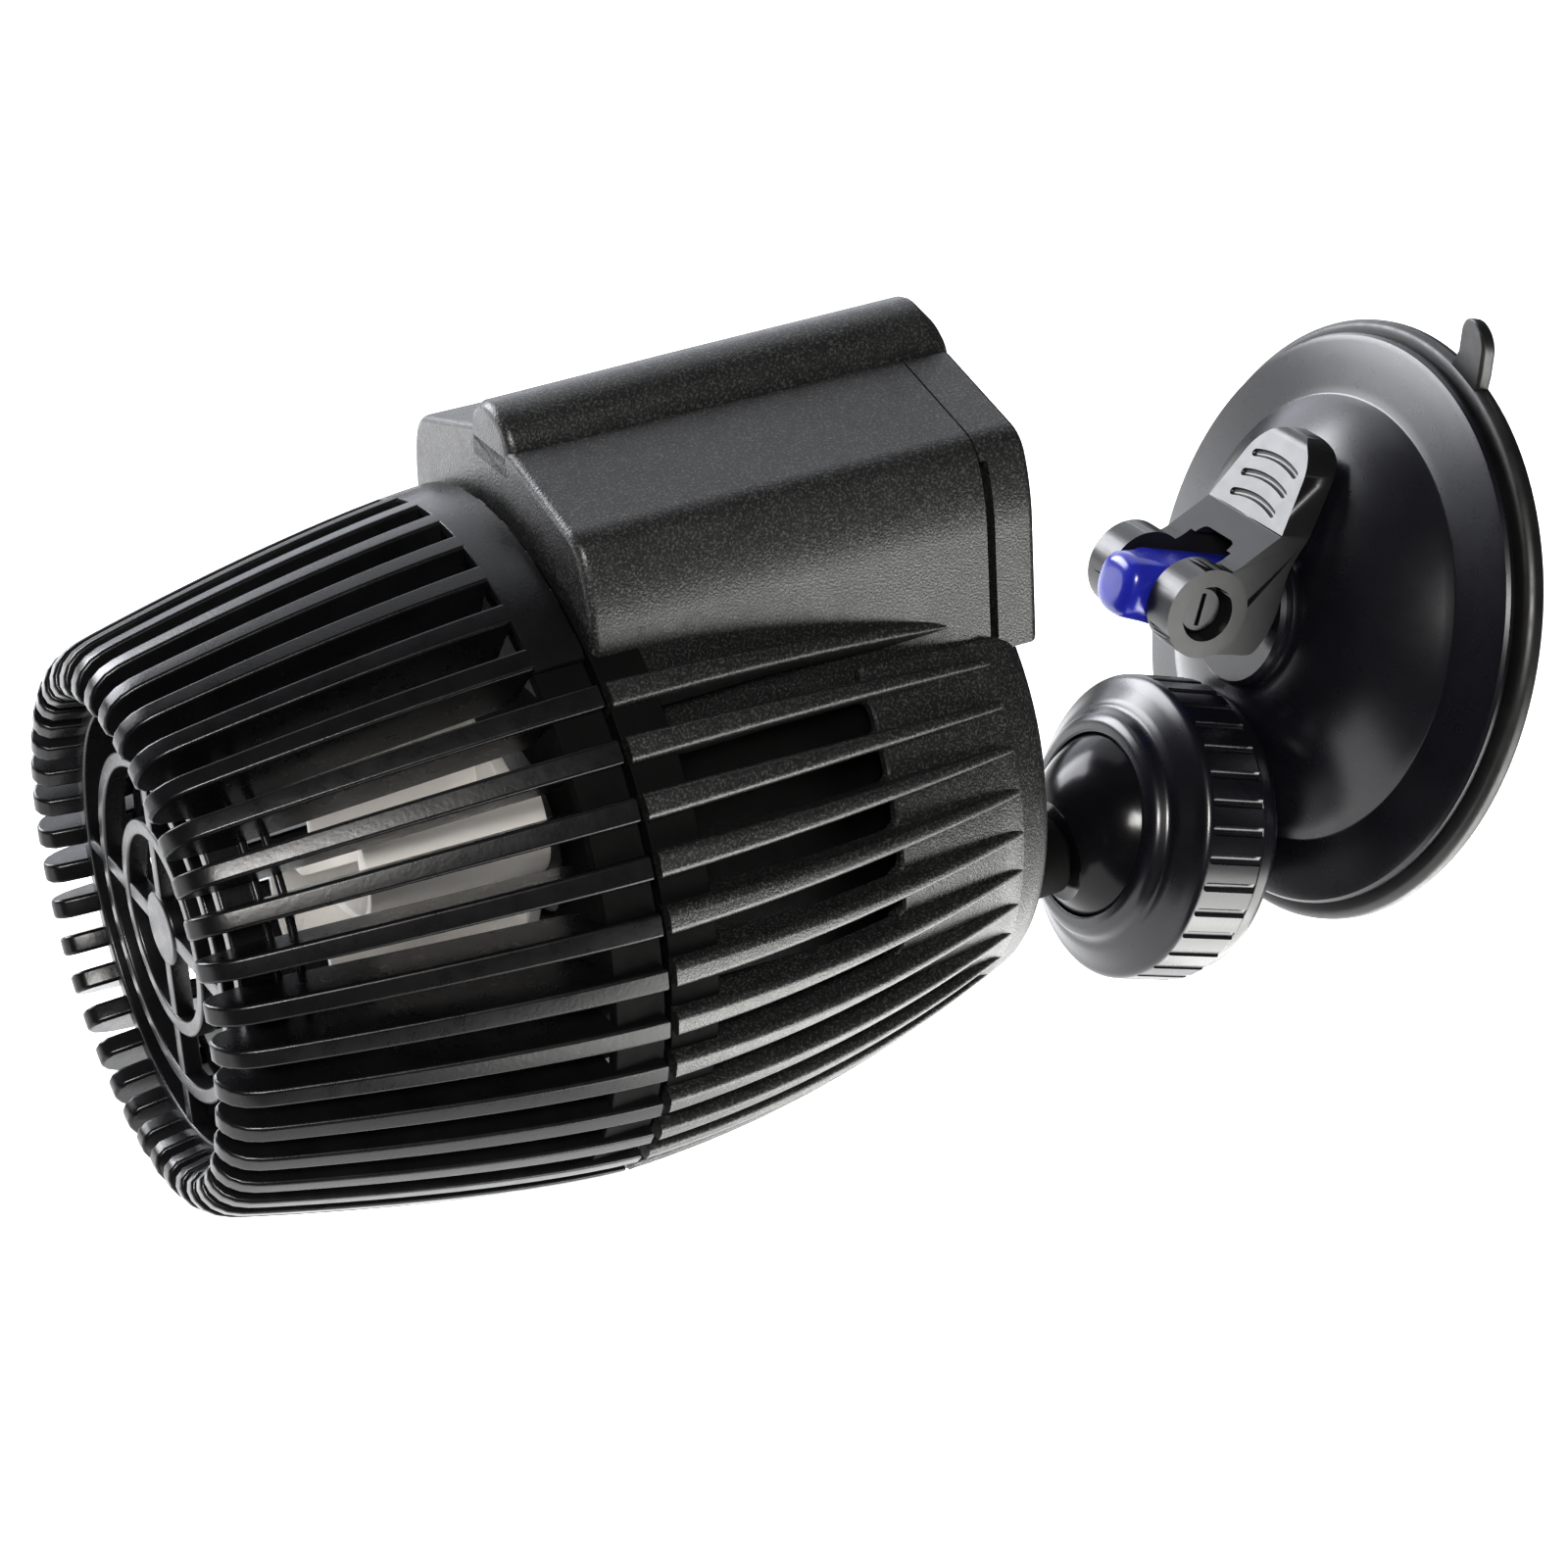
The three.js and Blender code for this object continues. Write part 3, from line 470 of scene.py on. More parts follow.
def grille():
    """The front grille: its rings, hub and crossed bars, and two hoops behind it."""
    front, rear = -42.0, -39.6
    rings = [
        grille_ring(25.2, 2.0, front, -37.2),
        grille_ring(18.8, 1.8, front, rear),
        grille_ring(11.3, 1.8, front, rear),
    ]
    hub_outline = [(0, front - 0.1), (4.2, front - 0.1), (4.2, rear), (0, rear)]
    hub = lathe(rounded(hub_outline, [0, 0.5, 0.5, 0], 3), 48)
    across = box((-24.6, front + 0.15, -1), (24.6, rear - 0.15, 1), 0.3)
    upright = box((-1, front + 0.15, -24.6), (1, rear - 0.15, 24.6), 0.3)
    hoops = [grille_ring(26.3, 0.9, y - 0.45, y + 0.45, 0.3) for y in (-37.9, -35.3)]
    return joined(rings + [hub, across, upright] + hoops)


cage_black = materials["cage_black"]
# The darkest finish is painted shade, for pieces that sit in shadow.
painted_shade_black = materials["painted_shade_black"]
# The sunk band is painted near-black, painted shade for the shadow between the fins.
piece("cage_band", cage_band(), PUMP, "cage", painted_shade_black)
piece("cage_fins", front_cage(), PUMP, "cage", cage_black, ["front_cage"])
piece("cage_grille", grille(), PUMP, "cage", cage_black)


def bayonet(front, rear, inner, outer):
    """Three small lugs around the barrel, between two radii."""
    return around(box((-3.8, front, inner), (3.8, rear, outer), 0.25), [90, 210, 330])


piece("cage_catches", joined(bayonet(-2.3, -1, 35, 37.6)), PUMP, "cage", cage_black)

# ------------------------------------------------------------ rear housing

RIB_END = 47.4
SLOT_END = 30.5
RIM_FRONT = 46.8
SHELL_START = 49.5


def rib_width(y):
    """A rib narrows towards the rim."""
    return 2.9 - 2.0 * (y / RIB_END) ** 1.3


def groove_depth(y):
    """How far the floor between two ribs lies below the barrel."""
    return 2.4 * max(0, (RIM_FRONT - y) / (RIM_FRONT - SLOT_END)) ** 0.6


def rib_section(y):
    """A rib across: upright sides and a soft, rounded top."""
    half = rib_width(y) / 2
    soft = min(0.8, half * 0.8)
    top = barrel(y)
    low = min(35.2, top - 3.2 + 1.6 * max(0, (y - 35) / (RIB_END - 35)))
    turns = [math.radians(a) for a in spread(0, 90, 4)]
    right = [(half, low)] + [(half + soft * (math.cos(a) - 1), top + soft * (math.sin(a) - 1)) for a in turns]
    outline = right + [(-x, z) for x, z in reversed(right)]
    return [(x, y, z) for x, z in outline]


def housing_rib():
    return loft([rib_section(y) for y in spread(SEAM_GAP, RIB_END, 24)])


def rim_profile(turn):
    """The shell behind the slots at one angle: its front edge is rounded between the ribs."""
    offset = ((turn % PITCH) / PITCH - 0.5) * 2
    slot_half = 1 - rib_width(SLOT_END) / (math.radians(PITCH) * barrel(SLOT_END))
    part = min(1, abs(offset) / slot_half)
    front = SLOT_END - 1.3 * (1 - math.sqrt(1 - part ** 4))
    floor = [(barrel(y) - groove_depth(y), y) for y in spread(front + 0.3, RIM_FRONT, 12)]
    top = [(barrel(y), y) for y in spread(RIM_FRONT + 0.15, REAR["length"] - 0.9, 4)]
    end = REAR["length"]
    lip = [(barrel(end) - 0.05, end - 0.4), (barrel(end) - 0.5, end), (24.2, end), (24.2, 48.8)]
    start = barrel(front) - groove_depth(front)
    inner = [(barrel(46) - 3.4, 46.5), (start - 1.7, front + 0.3), (start - 1.4, front), (start - 0.3, front)]
    return floor + top + lip + inner


def rear_shell():
    """The ribs and the shell behind them. Both leave room for the motor block at the top."""
    angles = [i * PITCH for i in range(FINS)]
    ribs = around(housing_rib(), [angle for angle in angles if 40 < angle < 320])
    shell_end = 360 - SHELL_START
    shell = lathe(rim_profile, round(2 * (shell_end - SHELL_START)), SHELL_START, shell_end)
    lugs = bayonet(-4, -2.7, 33.8, 36.3)
    return joined(ribs + [shell] + lugs)


def rear_collar():
    """The ring that joins the ribs' front ends, sunk below their tops."""
    front, rear = SEAM_GAP, SEAM_GAP + BAND_WIDTH
    low = SEAM_R - 1.7
    outline = [(34.9, front), (low, front), (low, rear), (34.9, rear)]
    return lathe(rounded(outline, [0.1, 0.22, 0.22, 0.3], 2), 160)


def cage_spigot():
    """The ring that reaches forward into the cage and carries the bayonet lugs."""
    rear = SEAM_GAP + BAND_WIDTH
    return lathe(rounded([(33, -4), (34.8, -4), (34.8, rear), (33, rear)], 0.3, 2), 120)


housing_black = materials["housing_black"]
piece("housing_shell", rear_shell(), PUMP, "pump", housing_black, ["rear_housing"])
# The collar and spigot are painted near-black, painted shade for the shadow in the seam.
piece("rear_collar", rear_collar(), PUMP, "pump", painted_shade_black)
piece("cage_spigot", cage_spigot(), PUMP, "pump", painted_shade_black)


def block_outline(inset=0.0):
    """The motor block from the front: sloping shoulders on top, straight sides, round bottom."""
    w = BLOCK_HALF - inset
    top = 47 - inset
    corners = [(0, top), (BEAD_R - 1, top), (21.6, 42.3 - inset), (w, 36), (w, 0), (0, 0)]
    right = rounded(corners, [0, 0.5, 2.6, 6, 0, 0], 6)
    right = [p for p in right if p[1] > 0.1 and p[0] > 0.1]
    bottom = [(w * math.cos(math.radians(a)), w * math.sin(math.radians(a))) for a in spread(0, -180, 40)]
    left = [(-x, z) for x, z in reversed(right)]
    return right + bottom + left


CHAMBER_TOP = 19


def motor_block():
    """The part of the motor block that stands above the barrel."""
    body = prism(block_outline(), BLOCK_FRONT, BLOCK_REAR, "xz", bevel=1.1, segments=4, both=False)
    return shaped(body, [box((-40, -5, -40), (40, 60, CHAMBER_TOP))])


def motor_chamber():
    """The part inside the ribs, with the rotor's well in its front wall."""
    body = prism(block_outline(), BLOCK_FRONT, BLOCK_REAR, "xz", bevel=1.1, segments=4, both=False)
    well = lathe([(0, -3), (10.2, -3), (10.2, 38), (0, 38)], 64)
    return shaped(body, [box((-40, -5, CHAMBER_TOP), (40, 60, 80)), well])


def bead_section(y, inset, top):
    """The bead on top of the block at one place: a rounded ridge with a crease at each foot."""
    half = BEAD_R - inset
    rise = top - inset - BEAD_Z
    turns = [math.radians(a) for a in spread(0, 180, 24)]
    ridge = [(half * math.cos(a), y, BEAD_Z + rise * math.sin(a) ** 0.9) for a in turns]
    return [(half, y, BEAD_Z - 2)] + ridge + [(-half, y, BEAD_Z - 2)]


def cable_bead():
    """The bead along the block's top, with the bore that the cable would leave by."""
    end = COVER_REAR
    stations = [(BLOCK_FRONT, 1.1, 50.7), (BLOCK_FRONT + 0.3, 0.5, 50.7), (BLOCK_FRONT + 1.1, 0, 50.7)]
    stations += [(25, 0, 51.2), (51.6, 0, 51.6), (52.2, 0.05, 51.4), (end - 0.3, 0.1, 49.6), (end, 0.4, 49.2)]
    body = loft([bead_section(*station) for station in stations])
    bore = lathe([(0, 44), (2.7, 44), (2.7, 58), (0, 58)], 40)
    return shaped(body, [moved(bore, Matrix.Translation((0, 0, BEAD_Z + 1.2)))])


piece("motor_block", motor_block(), PUMP, "pump", housing_black, sharp=50)
# The block inside the ribs is painted near-black, painted shade for the shadow there; the block above keeps the
# black plastic.
piece("motor_chamber", motor_chamber(), PUMP, "pump", painted_shade_black, sharp=50)
piece("cable_bead", cable_bead(), PUMP, "pump", housing_black, sharp=40)

# ------------------------------------------------------------ rear cover and its screws

SKIRT_LOW = 18.4
SCREW_SPOTS = [(18.6, 37.2), (-18.6, 37.2), (16.6, -12.6), (-16.6, -12.6)]


def cover_outline(inset=0.0, low=SKIRT_LOW):
    upper = [(x, z) for x, z in block_outline(inset) if z > low and x > 0]
    right = upper + [(BLOCK_HALF - inset, low)]
    return right + [(-x, z) for x, z in reversed(right)]


def rear_cover():
    """A hollow cap on the block, a disc that closes the barrel, and the boss for the ball's stud."""
    cap = prism(cover_outline(), COVER_REAR, COVER_FRONT, "xz", bevel=0.9, segments=3, both=False)
    brow = prism(cover_outline(), COVER_FRONT - 0.8, COVER_FRONT + 0.3)
    brow = shaped(brow, [box((-40, 40, 0), (40, 60, 40.4))])
    cap = shaped(shaped(cap, [brow], "UNION"), [prism(cover_outline(2.4, 10), COVER_FRONT - 2, 51.4)])
    disc_profile = [(0, 51), (27.6, 51), (27.4, 51.8), (24.8, 52.2), (24.6, COVER_REAR), (0, COVER_REAR)]
    disc_profile = rounded(disc_profile, [0, 0.2, 0.4, 0.3, 0.8, 0], 4)
    disc = lathe(disc_profile, 128)
    boss_profile = [(0, 53), (10.6, 53), (10, 54.6), (9.5, 58.2), (8.6, 60.6), (7.2, 61.6), (0, 61.6)]
    boss = lathe(rounded(boss_profile, [0, 0, 0.8, 1.6, 1.2, 0.8, 0], 4), 64)
    whole = shaped(cap, [disc, moved(boss, Matrix.Translation((0, 0, BALL_Z)))], "UNION")
    room_r = BEAD_R + 0.35
    bead_room = lathe([(0, 40), (room_r, 40), (room_r, 60), (0, 60)], 48)
    sink = lathe([(0, 50), (1.5, 50), (1.5, 52.2), (2.8, 52.2), (2.8, 53.6), (3.1, 54.2), (0, 54.2)], 40)
    cuts = [moved(bead_room, Matrix.Translation((0, 0, BEAD_Z)))]
    cuts += [moved(sink, Matrix.Translation((x, 0, z))) for x, z in SCREW_SPOTS]
    return shaped(whole, cuts)


piece("rear_plate", rear_cover(), PUMP, "pump", housing_black, ["rear_cover"], sharp=40)


def cover_screw():
    """A pan-head screw with a cross slot."""
    head = [(0, 39), (1.2, 40), (1.2, 52.5), (2.3, 52.5), (2.4, 52.7), (2.4, 53.2), (1.9, 53.6), (0, 53.8)]
    slots = [(1.5, 0.28), (0.28, 1.5)]
    arms = [prism(rounded([(-x, -z), (x, -z), (x, z), (-x, z)], 0.1, 1), 53.0, 54.4) for x, z in slots]
    return shaped(lathe(head, 40), arms)


steel = materials["fastener_steel"]
for number, (x, z) in enumerate(SCREW_SPOTS, 1):
    place = PUMP @ Matrix.Translation(Vector((x, 0, z)) * MM) @ Matrix.Rotation(number * 0.7, 4, "Y")
    name = f"cover_screw_{number}"
    piece("head_of_" + name, cover_screw(), place, "pump", steel, [name])

# ------------------------------------------------------------ impeller

BLADES = 4
BLADE_SWEEP = 38
BLADE_START = 6
BLADE_TIP = 19
HUB_R = 6.2


def blade_outline():
    """A blade from the front: radial at the hub, it hooks round until its tip runs along the rim."""
    def side(offset):
        points = []
        for t in spread(0, 1, 20):
            radius = HUB_R - 1 + (BLADE_TIP - HUB_R + 1) * math.sin(t * math.pi / 2) + offset * t
            turn = math.radians(BLADE_START + BLADE_SWEEP * t ** 3) - offset * (1 - t) / radius
            points.append((radius * math.cos(turn), radius * math.sin(turn)))
        return points
    return side(-0.65) + list(reversed(side(0.65)))


def impeller():
    """Four hooked blades on a thin disc, a lipped hub, and the stub that enters the rotor."""
    blade = prism(blade_outline(), -24, -3, "xz", bevel=0.3, segments=2)
    blades = around(blade, [i * 360 / BLADES for i in range(BLADES)])
    disc = lathe(rounded([(1.8, -4.2), (12, -4.2), (12, -2.4), (1.8, -2.4)], 0.4, 3), 96)
    eye = [(1.8, -14), (5.6, -14), (5.6, -15.4), (HUB_R, -15.4), (HUB_R, -3), (1.8, -3)]
    hub = lathe(rounded(eye, [0, 0, 0.2, 0.3, 0, 0], 2), 64)
    stub = lathe([(1.8, -3), (5, -3), (5, 4.6), (1.8, 4.6)], 48)
    return joined(blades + [disc, hub, stub])


white = materials["impeller_white"]
piece("impeller_wheel", impeller(), PUMP, "rotor", white, ["impeller"])

# ------------------------------------------------------------ ball joint

def arc(radius, start, end, steps):
    """(radius, y) points on a sphere's outline, by angle from +Y."""
    turns = [math.radians(a) for a in spread(start, end, steps)]
    return [(radius * math.sin(a), radius * math.cos(a)) for a in turns]


def ball():
    """The ball with its bore, the sink for its screw's head and the mouth for its stud."""
    bore = 3.5
    sink = 4.9
    edge = math.degrees(math.asin(sink / BALL_R))
    mouth = math.degrees(math.asin(6.2 / BALL_R))
    outline = arc(BALL_R, edge, 180 - mouth, 56)
    return lathe(outline + [(6.0, -11.4), (5.4, -11.2), (bore, -11.2), (bore, 4), (sink, 4)], 128)


def ball_stud():
    rear = -(BALL_Y - COVER_REAR - 2.6 - 0.3)
    outline = [(0, rear), (6.4, rear), (6.4, rear + 1.6), (5.2, rear + 3.4)]
    outline += [(4.9, -12), (3.2, -12), (3.2, 3.7), (0, 3.7)]
    return lathe(rounded(outline, [0, 0.4, 0.5, 2.4, 0.4, 0, 0.3, 0], 5), 96)


gloss = materials["ball_gloss"]
piece("swivel_ball", ball(), STUD, "ball", gloss, ["ball"])
# The stud is painted near-black, painted shade that keeps it dark under the ball.
piece("swivel_stud", ball_stud(), STUD, "pump", painted_shade_black, ["ball_stud"])

NUT_REAR = 5.5
NUT_EDGE = -3.3
NUT_CREST = 18.5


def capsule(start, end, radius, steps=6):
    """A closed round bar with hemispherical ends, for cutting a groove."""
    axis = Vector(end) - Vector(start)
    reach = axis.length
    turns = [math.radians(a) for a in spread(0, 90, steps)]
    near = [(radius * math.sin(a), -radius * math.cos(a)) for a in turns]
    far = [(r, reach - y) for r, y in reversed(near)]
    turn = Vector((0, 1, 0)).rotation_difference(axis).to_matrix().to_4x4()
    return moved(lathe(near + far, 16), Matrix.Translation(start) @ turn)


def clamp_nut():
    """The nut: a grooved grip, a stepped and rounded face, and a seat that fits the ball."""
    seat = arc(BALL_R + 0.3, 180 - 57.5, 180 - 80, 8)
    body = [(16.1, -2.1), (16.1, NUT_REAR), (NUT_CREST, NUT_REAR), (NUT_CREST, -2.6), (17.2, NUT_EDGE)]
    steps = [(15.1, -4.9), (14.1, -5.2), (13.5, -6.6), (12.5, -7.2), (11.5, -7.25)]
    corner = [0.2, 0.2, 0.3, 1.3, 1.5, 0.5, 0.6, 0.5, 0.35, 0.1]
    outline = rounded(body + steps + seat, corner + [0] * len(seat), 4)
    groove = capsule((0, -1.5, NUT_CREST + 0.1), (0, NUT_REAR + 1, NUT_CREST + 0.1), 0.62)
    cutters = joined(around(groove, [(i + 0.5) * 360 / NUT_TEETH for i in range(NUT_TEETH)]))
    return shaped(lathe(outline, NUT_TEETH * 6), [cutters])


mount_black = materials["mount_black"]
piece("grip_nut", clamp_nut(), SOCKET, "nut", mount_black, ["clamp_nut"], sharp=40)

# ------------------------------------------------------------ suction mount

PAD_R = 36.6
DOME_R = 34.7
CREASE_R = 27
PLATEAU_R = 9
PLATEAU_OUT = 16.5


def dome_out(radius):
    """How far the dome's surface stands off the glass between its crease and its plateau."""
    part = max(0, (radius - PLATEAU_R) / (CREASE_R - PLATEAU_R))
    return 5.6 + 9 * (1 - part ** 1.9)


def suction_dome():
    """The hard cup over the pad, with a window for the lever's post and room for the ball's bowl."""
    brim = [(DOME_R - 0.6, -2.7), (DOME_R, -3.2), (DOME_R, -3.7), (DOME_R - 0.3, -4.15), (DOME_R - 1, -4.35)]
    brim += [(31, -4.85), (28.4, -5.3), (CREASE_R + 0.25, -5.5)]
    slope = [(r, -dome_out(r)) for r in spread(CREASE_R, PLATEAU_R + 0.6, 20)]
    top = [(PLATEAU_R + 0.25, -14.75), (PLATEAU_R, -15), (PLATEAU_R, -16)]
    top += [(PLATEAU_R - 0.5, -PLATEAU_OUT), (0, -PLATEAU_OUT)]
    inner = [(0, -12.5)] + [(r - 1.2, -dome_out(r) + 2.4) for r in spread(PLATEAU_R + 1, CREASE_R, 12)]
    shell = lathe(brim + slope + top + inner + [(CREASE_R, -2.7)], 160)
    window = box((-4.4, -30, AXLE_Z - 4.2), (4.4, 0, AXLE_Z + 4.2), 0)
    room = moved(lathe(arc(15.3, 0, 180, 40), 64), Matrix.Translation(SOCKET.translation / MM))
    return shaped(shell, [window, room])


def socket():
    """The collar that carries the nut, its flange, and the bowl behind the ball."""
    outer = [(15.8, -1.8), (15.8, 6), (17.4, 6), (17.4, 8.3)] + arc(17.1, 58, 0, 14)
    inner = arc(15.3, 0, 61, 14) + arc(BALL_R + 0.3, 61, 97, 8)
    corner = [0.4, 0.3, 0.5, 0.8] + [0] * (len(outer) - 4 + len(inner))
    back = 17.8
    foot = lathe([(0, back - 2), (5.4, back - 2), (6, back), (0, back)], 48)
    whole = lathe(rounded(outer + inner, corner, 3), 128)
    below = moved(box((-30, -30, -60), (30, 0.1, 60)), Matrix.Translation((0, back, 0)))
    return joined([shaped(whole, [below], "INTERSECT"), foot])


def suction_pad():
    """The rubber pad: a flat glass face and a rounded lip around the cup."""
    lip = [(0, 0), (PAD_R - 0.5, 0), (PAD_R, -0.5), (PAD_R, -1.6)]
    lip += [(PAD_R - 0.6, -2.3), (PAD_R - 1.2, -2.4), (0, -2.4)]
    return lathe(rounded(lip, [0, 0, 0.3, 0.4, 0.4, 0.2, 0], 3), 160)


TAB_ANGLE = 17.5
TAB_CURL = 0.42


def pad_tab():
    """The pull tab on the pad's edge, leaning away from the glass."""
    half = 2.7
    end = 43.5 - half
    turns = [math.radians(a) for a in spread(0, 180, 16)]
    tip = [(half * math.cos(a), end + half * math.sin(a)) for a in turns]
    outline = [(half + 0.6, 35), (half, 38)] + tip + [(-half, 38), (-half - 0.6, 35)]
    tab = prism(outline, -2.2, -0.2, "xz", bevel=0.5)
    for vert in tab.verts:
        vert.co.y -= TAB_CURL * max(0, vert.co.z - 37)
    return moved(tab, Matrix.Rotation(math.radians(TAB_ANGLE), 4, "Y"))


rubber = materials["rubber_black"]
piece("glass_pad", suction_pad(), GLASS, "mount", rubber, ["suction_pad"])
piece("pad_tab", pad_tab(), GLASS, "mount", rubber)
piece("cup_dome", suction_dome(), GLASS, "mount", mount_black, ["suction_dome"], sharp=30)
piece("ball_socket", socket(), SOCKET, "mount", mount_black)

# ------------------------------------------------------------ release lever

BOSS_R = 5.5
BOSS_REACH = 9
FORK_HALF = 4.4
FORK_TOP = 8.3
NOTCH_HALF = 3.4
NOTCH_TOP = 9.3
ARM_HALF = 7.8
GRIP_HALF = 6.4
TIP_Z = 23


def lever_side():
    """The lever from the side, as (y, z): boss, cam foot, underside, tip, grip and shelf."""
    turns = [math.radians(a) for a in spread(62, 285, 28)]
    boss = [(BOSS_R * math.cos(a) - AXLE_OUT, BOSS_R * math.sin(a) + AXLE_Z) for a in turns]
    foot = [(-18.7, -3), (-17.3, -0.3), (-16.8, 2), (-16.8, 8.3)]
    under = [(-15.4, 11.5), (-13.2, 17.5), (-11.8, 21.6)]
    tip = [(-12.6, TIP_Z - 0.2), (-14.4, TIP_Z), (-15.9, 22.2)]
    shelf = [(-19.3, 11.9), (-24.2, 7.35)]
    corner = [0] * len(boss) + [1, 1, 1, 2.5, 3, 4, 0.8, 0.7, 0.7, 0.8, 0.2, 0.5]
    return rounded(boss + foot + under + tip + shelf, corner, 4)


def lever_plan():
    """The lever from the front, as (x, z): straight sides up to the fold, then a tapering round grip."""
    centre = TIP_Z - GRIP_HALF
    turns = [math.radians(a) for a in spread(12, 168, 24)]
    tip = [(GRIP_HALF * math.cos(a), centre + GRIP_HALF * math.sin(a)) for a in turns]
    return [(-ARM_HALF, -12), (ARM_HALF, -12), (ARM_HALF, 12)] + tip + [(-ARM_HALF, 12)]


def across(radius, low, high, segments=40):
    """A round bar along X through the axle's place."""
    bar = lathe([(0, low), (radius, low), (radius, high), (0, high)], segments)
    return moved(bar, Matrix.Translation((0, -AXLE_OUT, AXLE_Z)) @ Matrix.Rotation(-math.pi / 2, 4, "Z"))


def grip_groove(z):
    """A shallow curved groove across the grip, bowed towards the tip."""
    bow = 15
    slope = 3.4 / 10.3
    points = []
    for angle in spread(-16.5, 16.5, 12):
        x = bow * math.sin(math.radians(angle))
        height = z - bow * (1 - math.cos(math.radians(angle)))
        points.append((x, -19.4 + slope * (height - 11.9), height))
    return tube(points, 0.5)


def tube(points, radius, segments=12):
    """A round bar along points, with rounded ends."""
    path = [Vector(p) for p in points]
    first = (path[0] - path[1]).normalized()
    last = (path[-1] - path[-2]).normalized()
    ends = [(math.sin(a), math.cos(a)) for a in map(math.radians, (80, 50, 20))]
    stations = [(path[0] + first * radius * s, c) for s, c in ends] + [(p, 1) for p in path]
    stations += [(path[-1] + last * radius * s, c) for s, c in reversed(ends)]
    verts = []
    for i, (spot, scale) in enumerate(stations):
        ahead = stations[min(i + 1, len(stations) - 1)][0] - stations[max(i - 1, 0)][0]
        side = ahead.cross(Vector((0, 1, 0))).normalized()
        lift = side.cross(ahead).normalized()
        for turn in spread(0, 360, segments)[:segments]:
            angle = math.radians(turn)
            verts.append(spot + (side * math.cos(angle) + lift * math.sin(angle)) * radius * scale)
    faces = grid_faces(len(stations), segments, False, True)
    count = len(verts)
    faces += [tuple(range(segments)), tuple(range(count - 1, count - 1 - segments, -1))]
    return to_bmesh(verts, faces)


def release_lever():
    """The lever: its side and front outlines crossed, two bosses, the fork, the notch and the grip."""
    arms = shaped(prism(lever_side(), -ARM_HALF, ARM_HALF, "yz"), [prism(lever_plan(), -50, 0)], "INTERSECT")
    bosses = [across(BOSS_R, FORK_HALF, BOSS_REACH, 64), across(BOSS_R, -BOSS_REACH, -FORK_HALF, 64)]
    blank = shaped(arms, bosses, "UNION")
    half = FORK_HALF
    fork = prism([(-half, -12), (half, -12), (half, FORK_TOP), (-half, FORK_TOP)], -50, 0)
    notch_outline = [(-NOTCH_HALF, 5), (NOTCH_HALF, 5), (NOTCH_HALF, NOTCH_TOP), (-NOTCH_HALF, NOTCH_TOP)]
    notch = prism(rounded(notch_outline, [0, 0, 1, 1], 4), -50, 0)
    recess = 5.9
    cuts = [fork, notch, across(2.1, -20, 20), across(3.4, recess, 20), across(3.4, -20, -recess)]
    body = shaped(blank, cuts, bevel=0.4, segments=3, angle=32)
    return shaped(body, [grip_groove(z) for z in (14.2, 16.7, 19.2)])


def lever_axle():
    """The pin through both bosses, with a slot in each end."""
    half = [(1.8, 6.2), (2.9, 6.2), (2.9, 7.1), (2.6, 7.4), (0, 7.4)]
    outline = [(r, -y) for r, y in reversed(half)] + half
    slots = [box((-0.3, y - 0.5, -2.0), (0.3, y + 0.5, 2.0)) for y in (-7.4, 7.4)]
    return moved(shaped(lathe(outline, 48), slots), Matrix.Rotation(-math.pi / 2, 4, "Z"))


POST_HALF_X = 4
POST_HALF_Z = 3.8
POST_END = 35.5


def pull_post():
    """A bar whose outer end is nearly round, with a domed face."""
    def section(y, shrink, corner):
        w = POST_HALF_X - shrink
        h = POST_HALF_Z - shrink
        outline = rounded([(-w, -h), (w, -h), (w, h), (-w, h)], corner, 6)
        return [(x, y, z + AXLE_Z) for x, z in outline]
    stations = [(-7.1, 0.3, 0.7), (-7.4, 0, 0.8), (-30.2, 0, 0.9), (-31.8, 0, 2.6), (-33.6, 0, 3.6)]
    stations += [(-34.5, 0.15, 3.5), (-35.1, 0.6, 3.1), (-35.4, 1.3, 2.4), (-POST_END, 2.2, 1.5)]
    return shaped(loft([section(*station) for station in stations]), [across(2.1, -10, 10)])


lever_black = materials["lever_black"]
post_blue = materials["post_blue"]
piece("lock_lever", release_lever(), GLASS, "lever", lever_black, ["release_lever"], sharp=32)
piece("lever_pin", lever_axle(), AXLE, "post", mount_black, ["lever_axle"])
piece("blue_post", pull_post(), GLASS, "post", post_blue, ["pull_post"])

# ------------------------------------------------------------ CAD pieces that stay, with better finishes

finishes = {entry["node"]: entry["material_slot"] for entry in frame["record"]["subparts"]}
for node, thing in frame["nodes"].items():
    for spot in thing.material_slots:
        spot.material = materials[finishes[node]]

# ------------------------------------------------------------ stage, light and camera

FLOOR_TOP = -0.19
BACKDROP_R = 8
floor = mesh_object("floor", box((-5, -2.5, FLOOR_TOP - 0.01), (0.12, 5, FLOOR_TOP)))


def backdrop(radius):
    """A white shell far around the scene. Only the camera sees it, so it adds no light."""
    shell = bmesh.new()
    bmesh.ops.create_uvsphere(shell, u_segments=48, v_segments=24, radius=radius)
    thing = mesh_object("backdrop", shell)
    thing.visible_diffuse = False
    thing.visible_glossy = False
    thing.visible_transmission = False
    thing.visible_volume_scatter = False
    thing.visible_shadow = False
    return thing


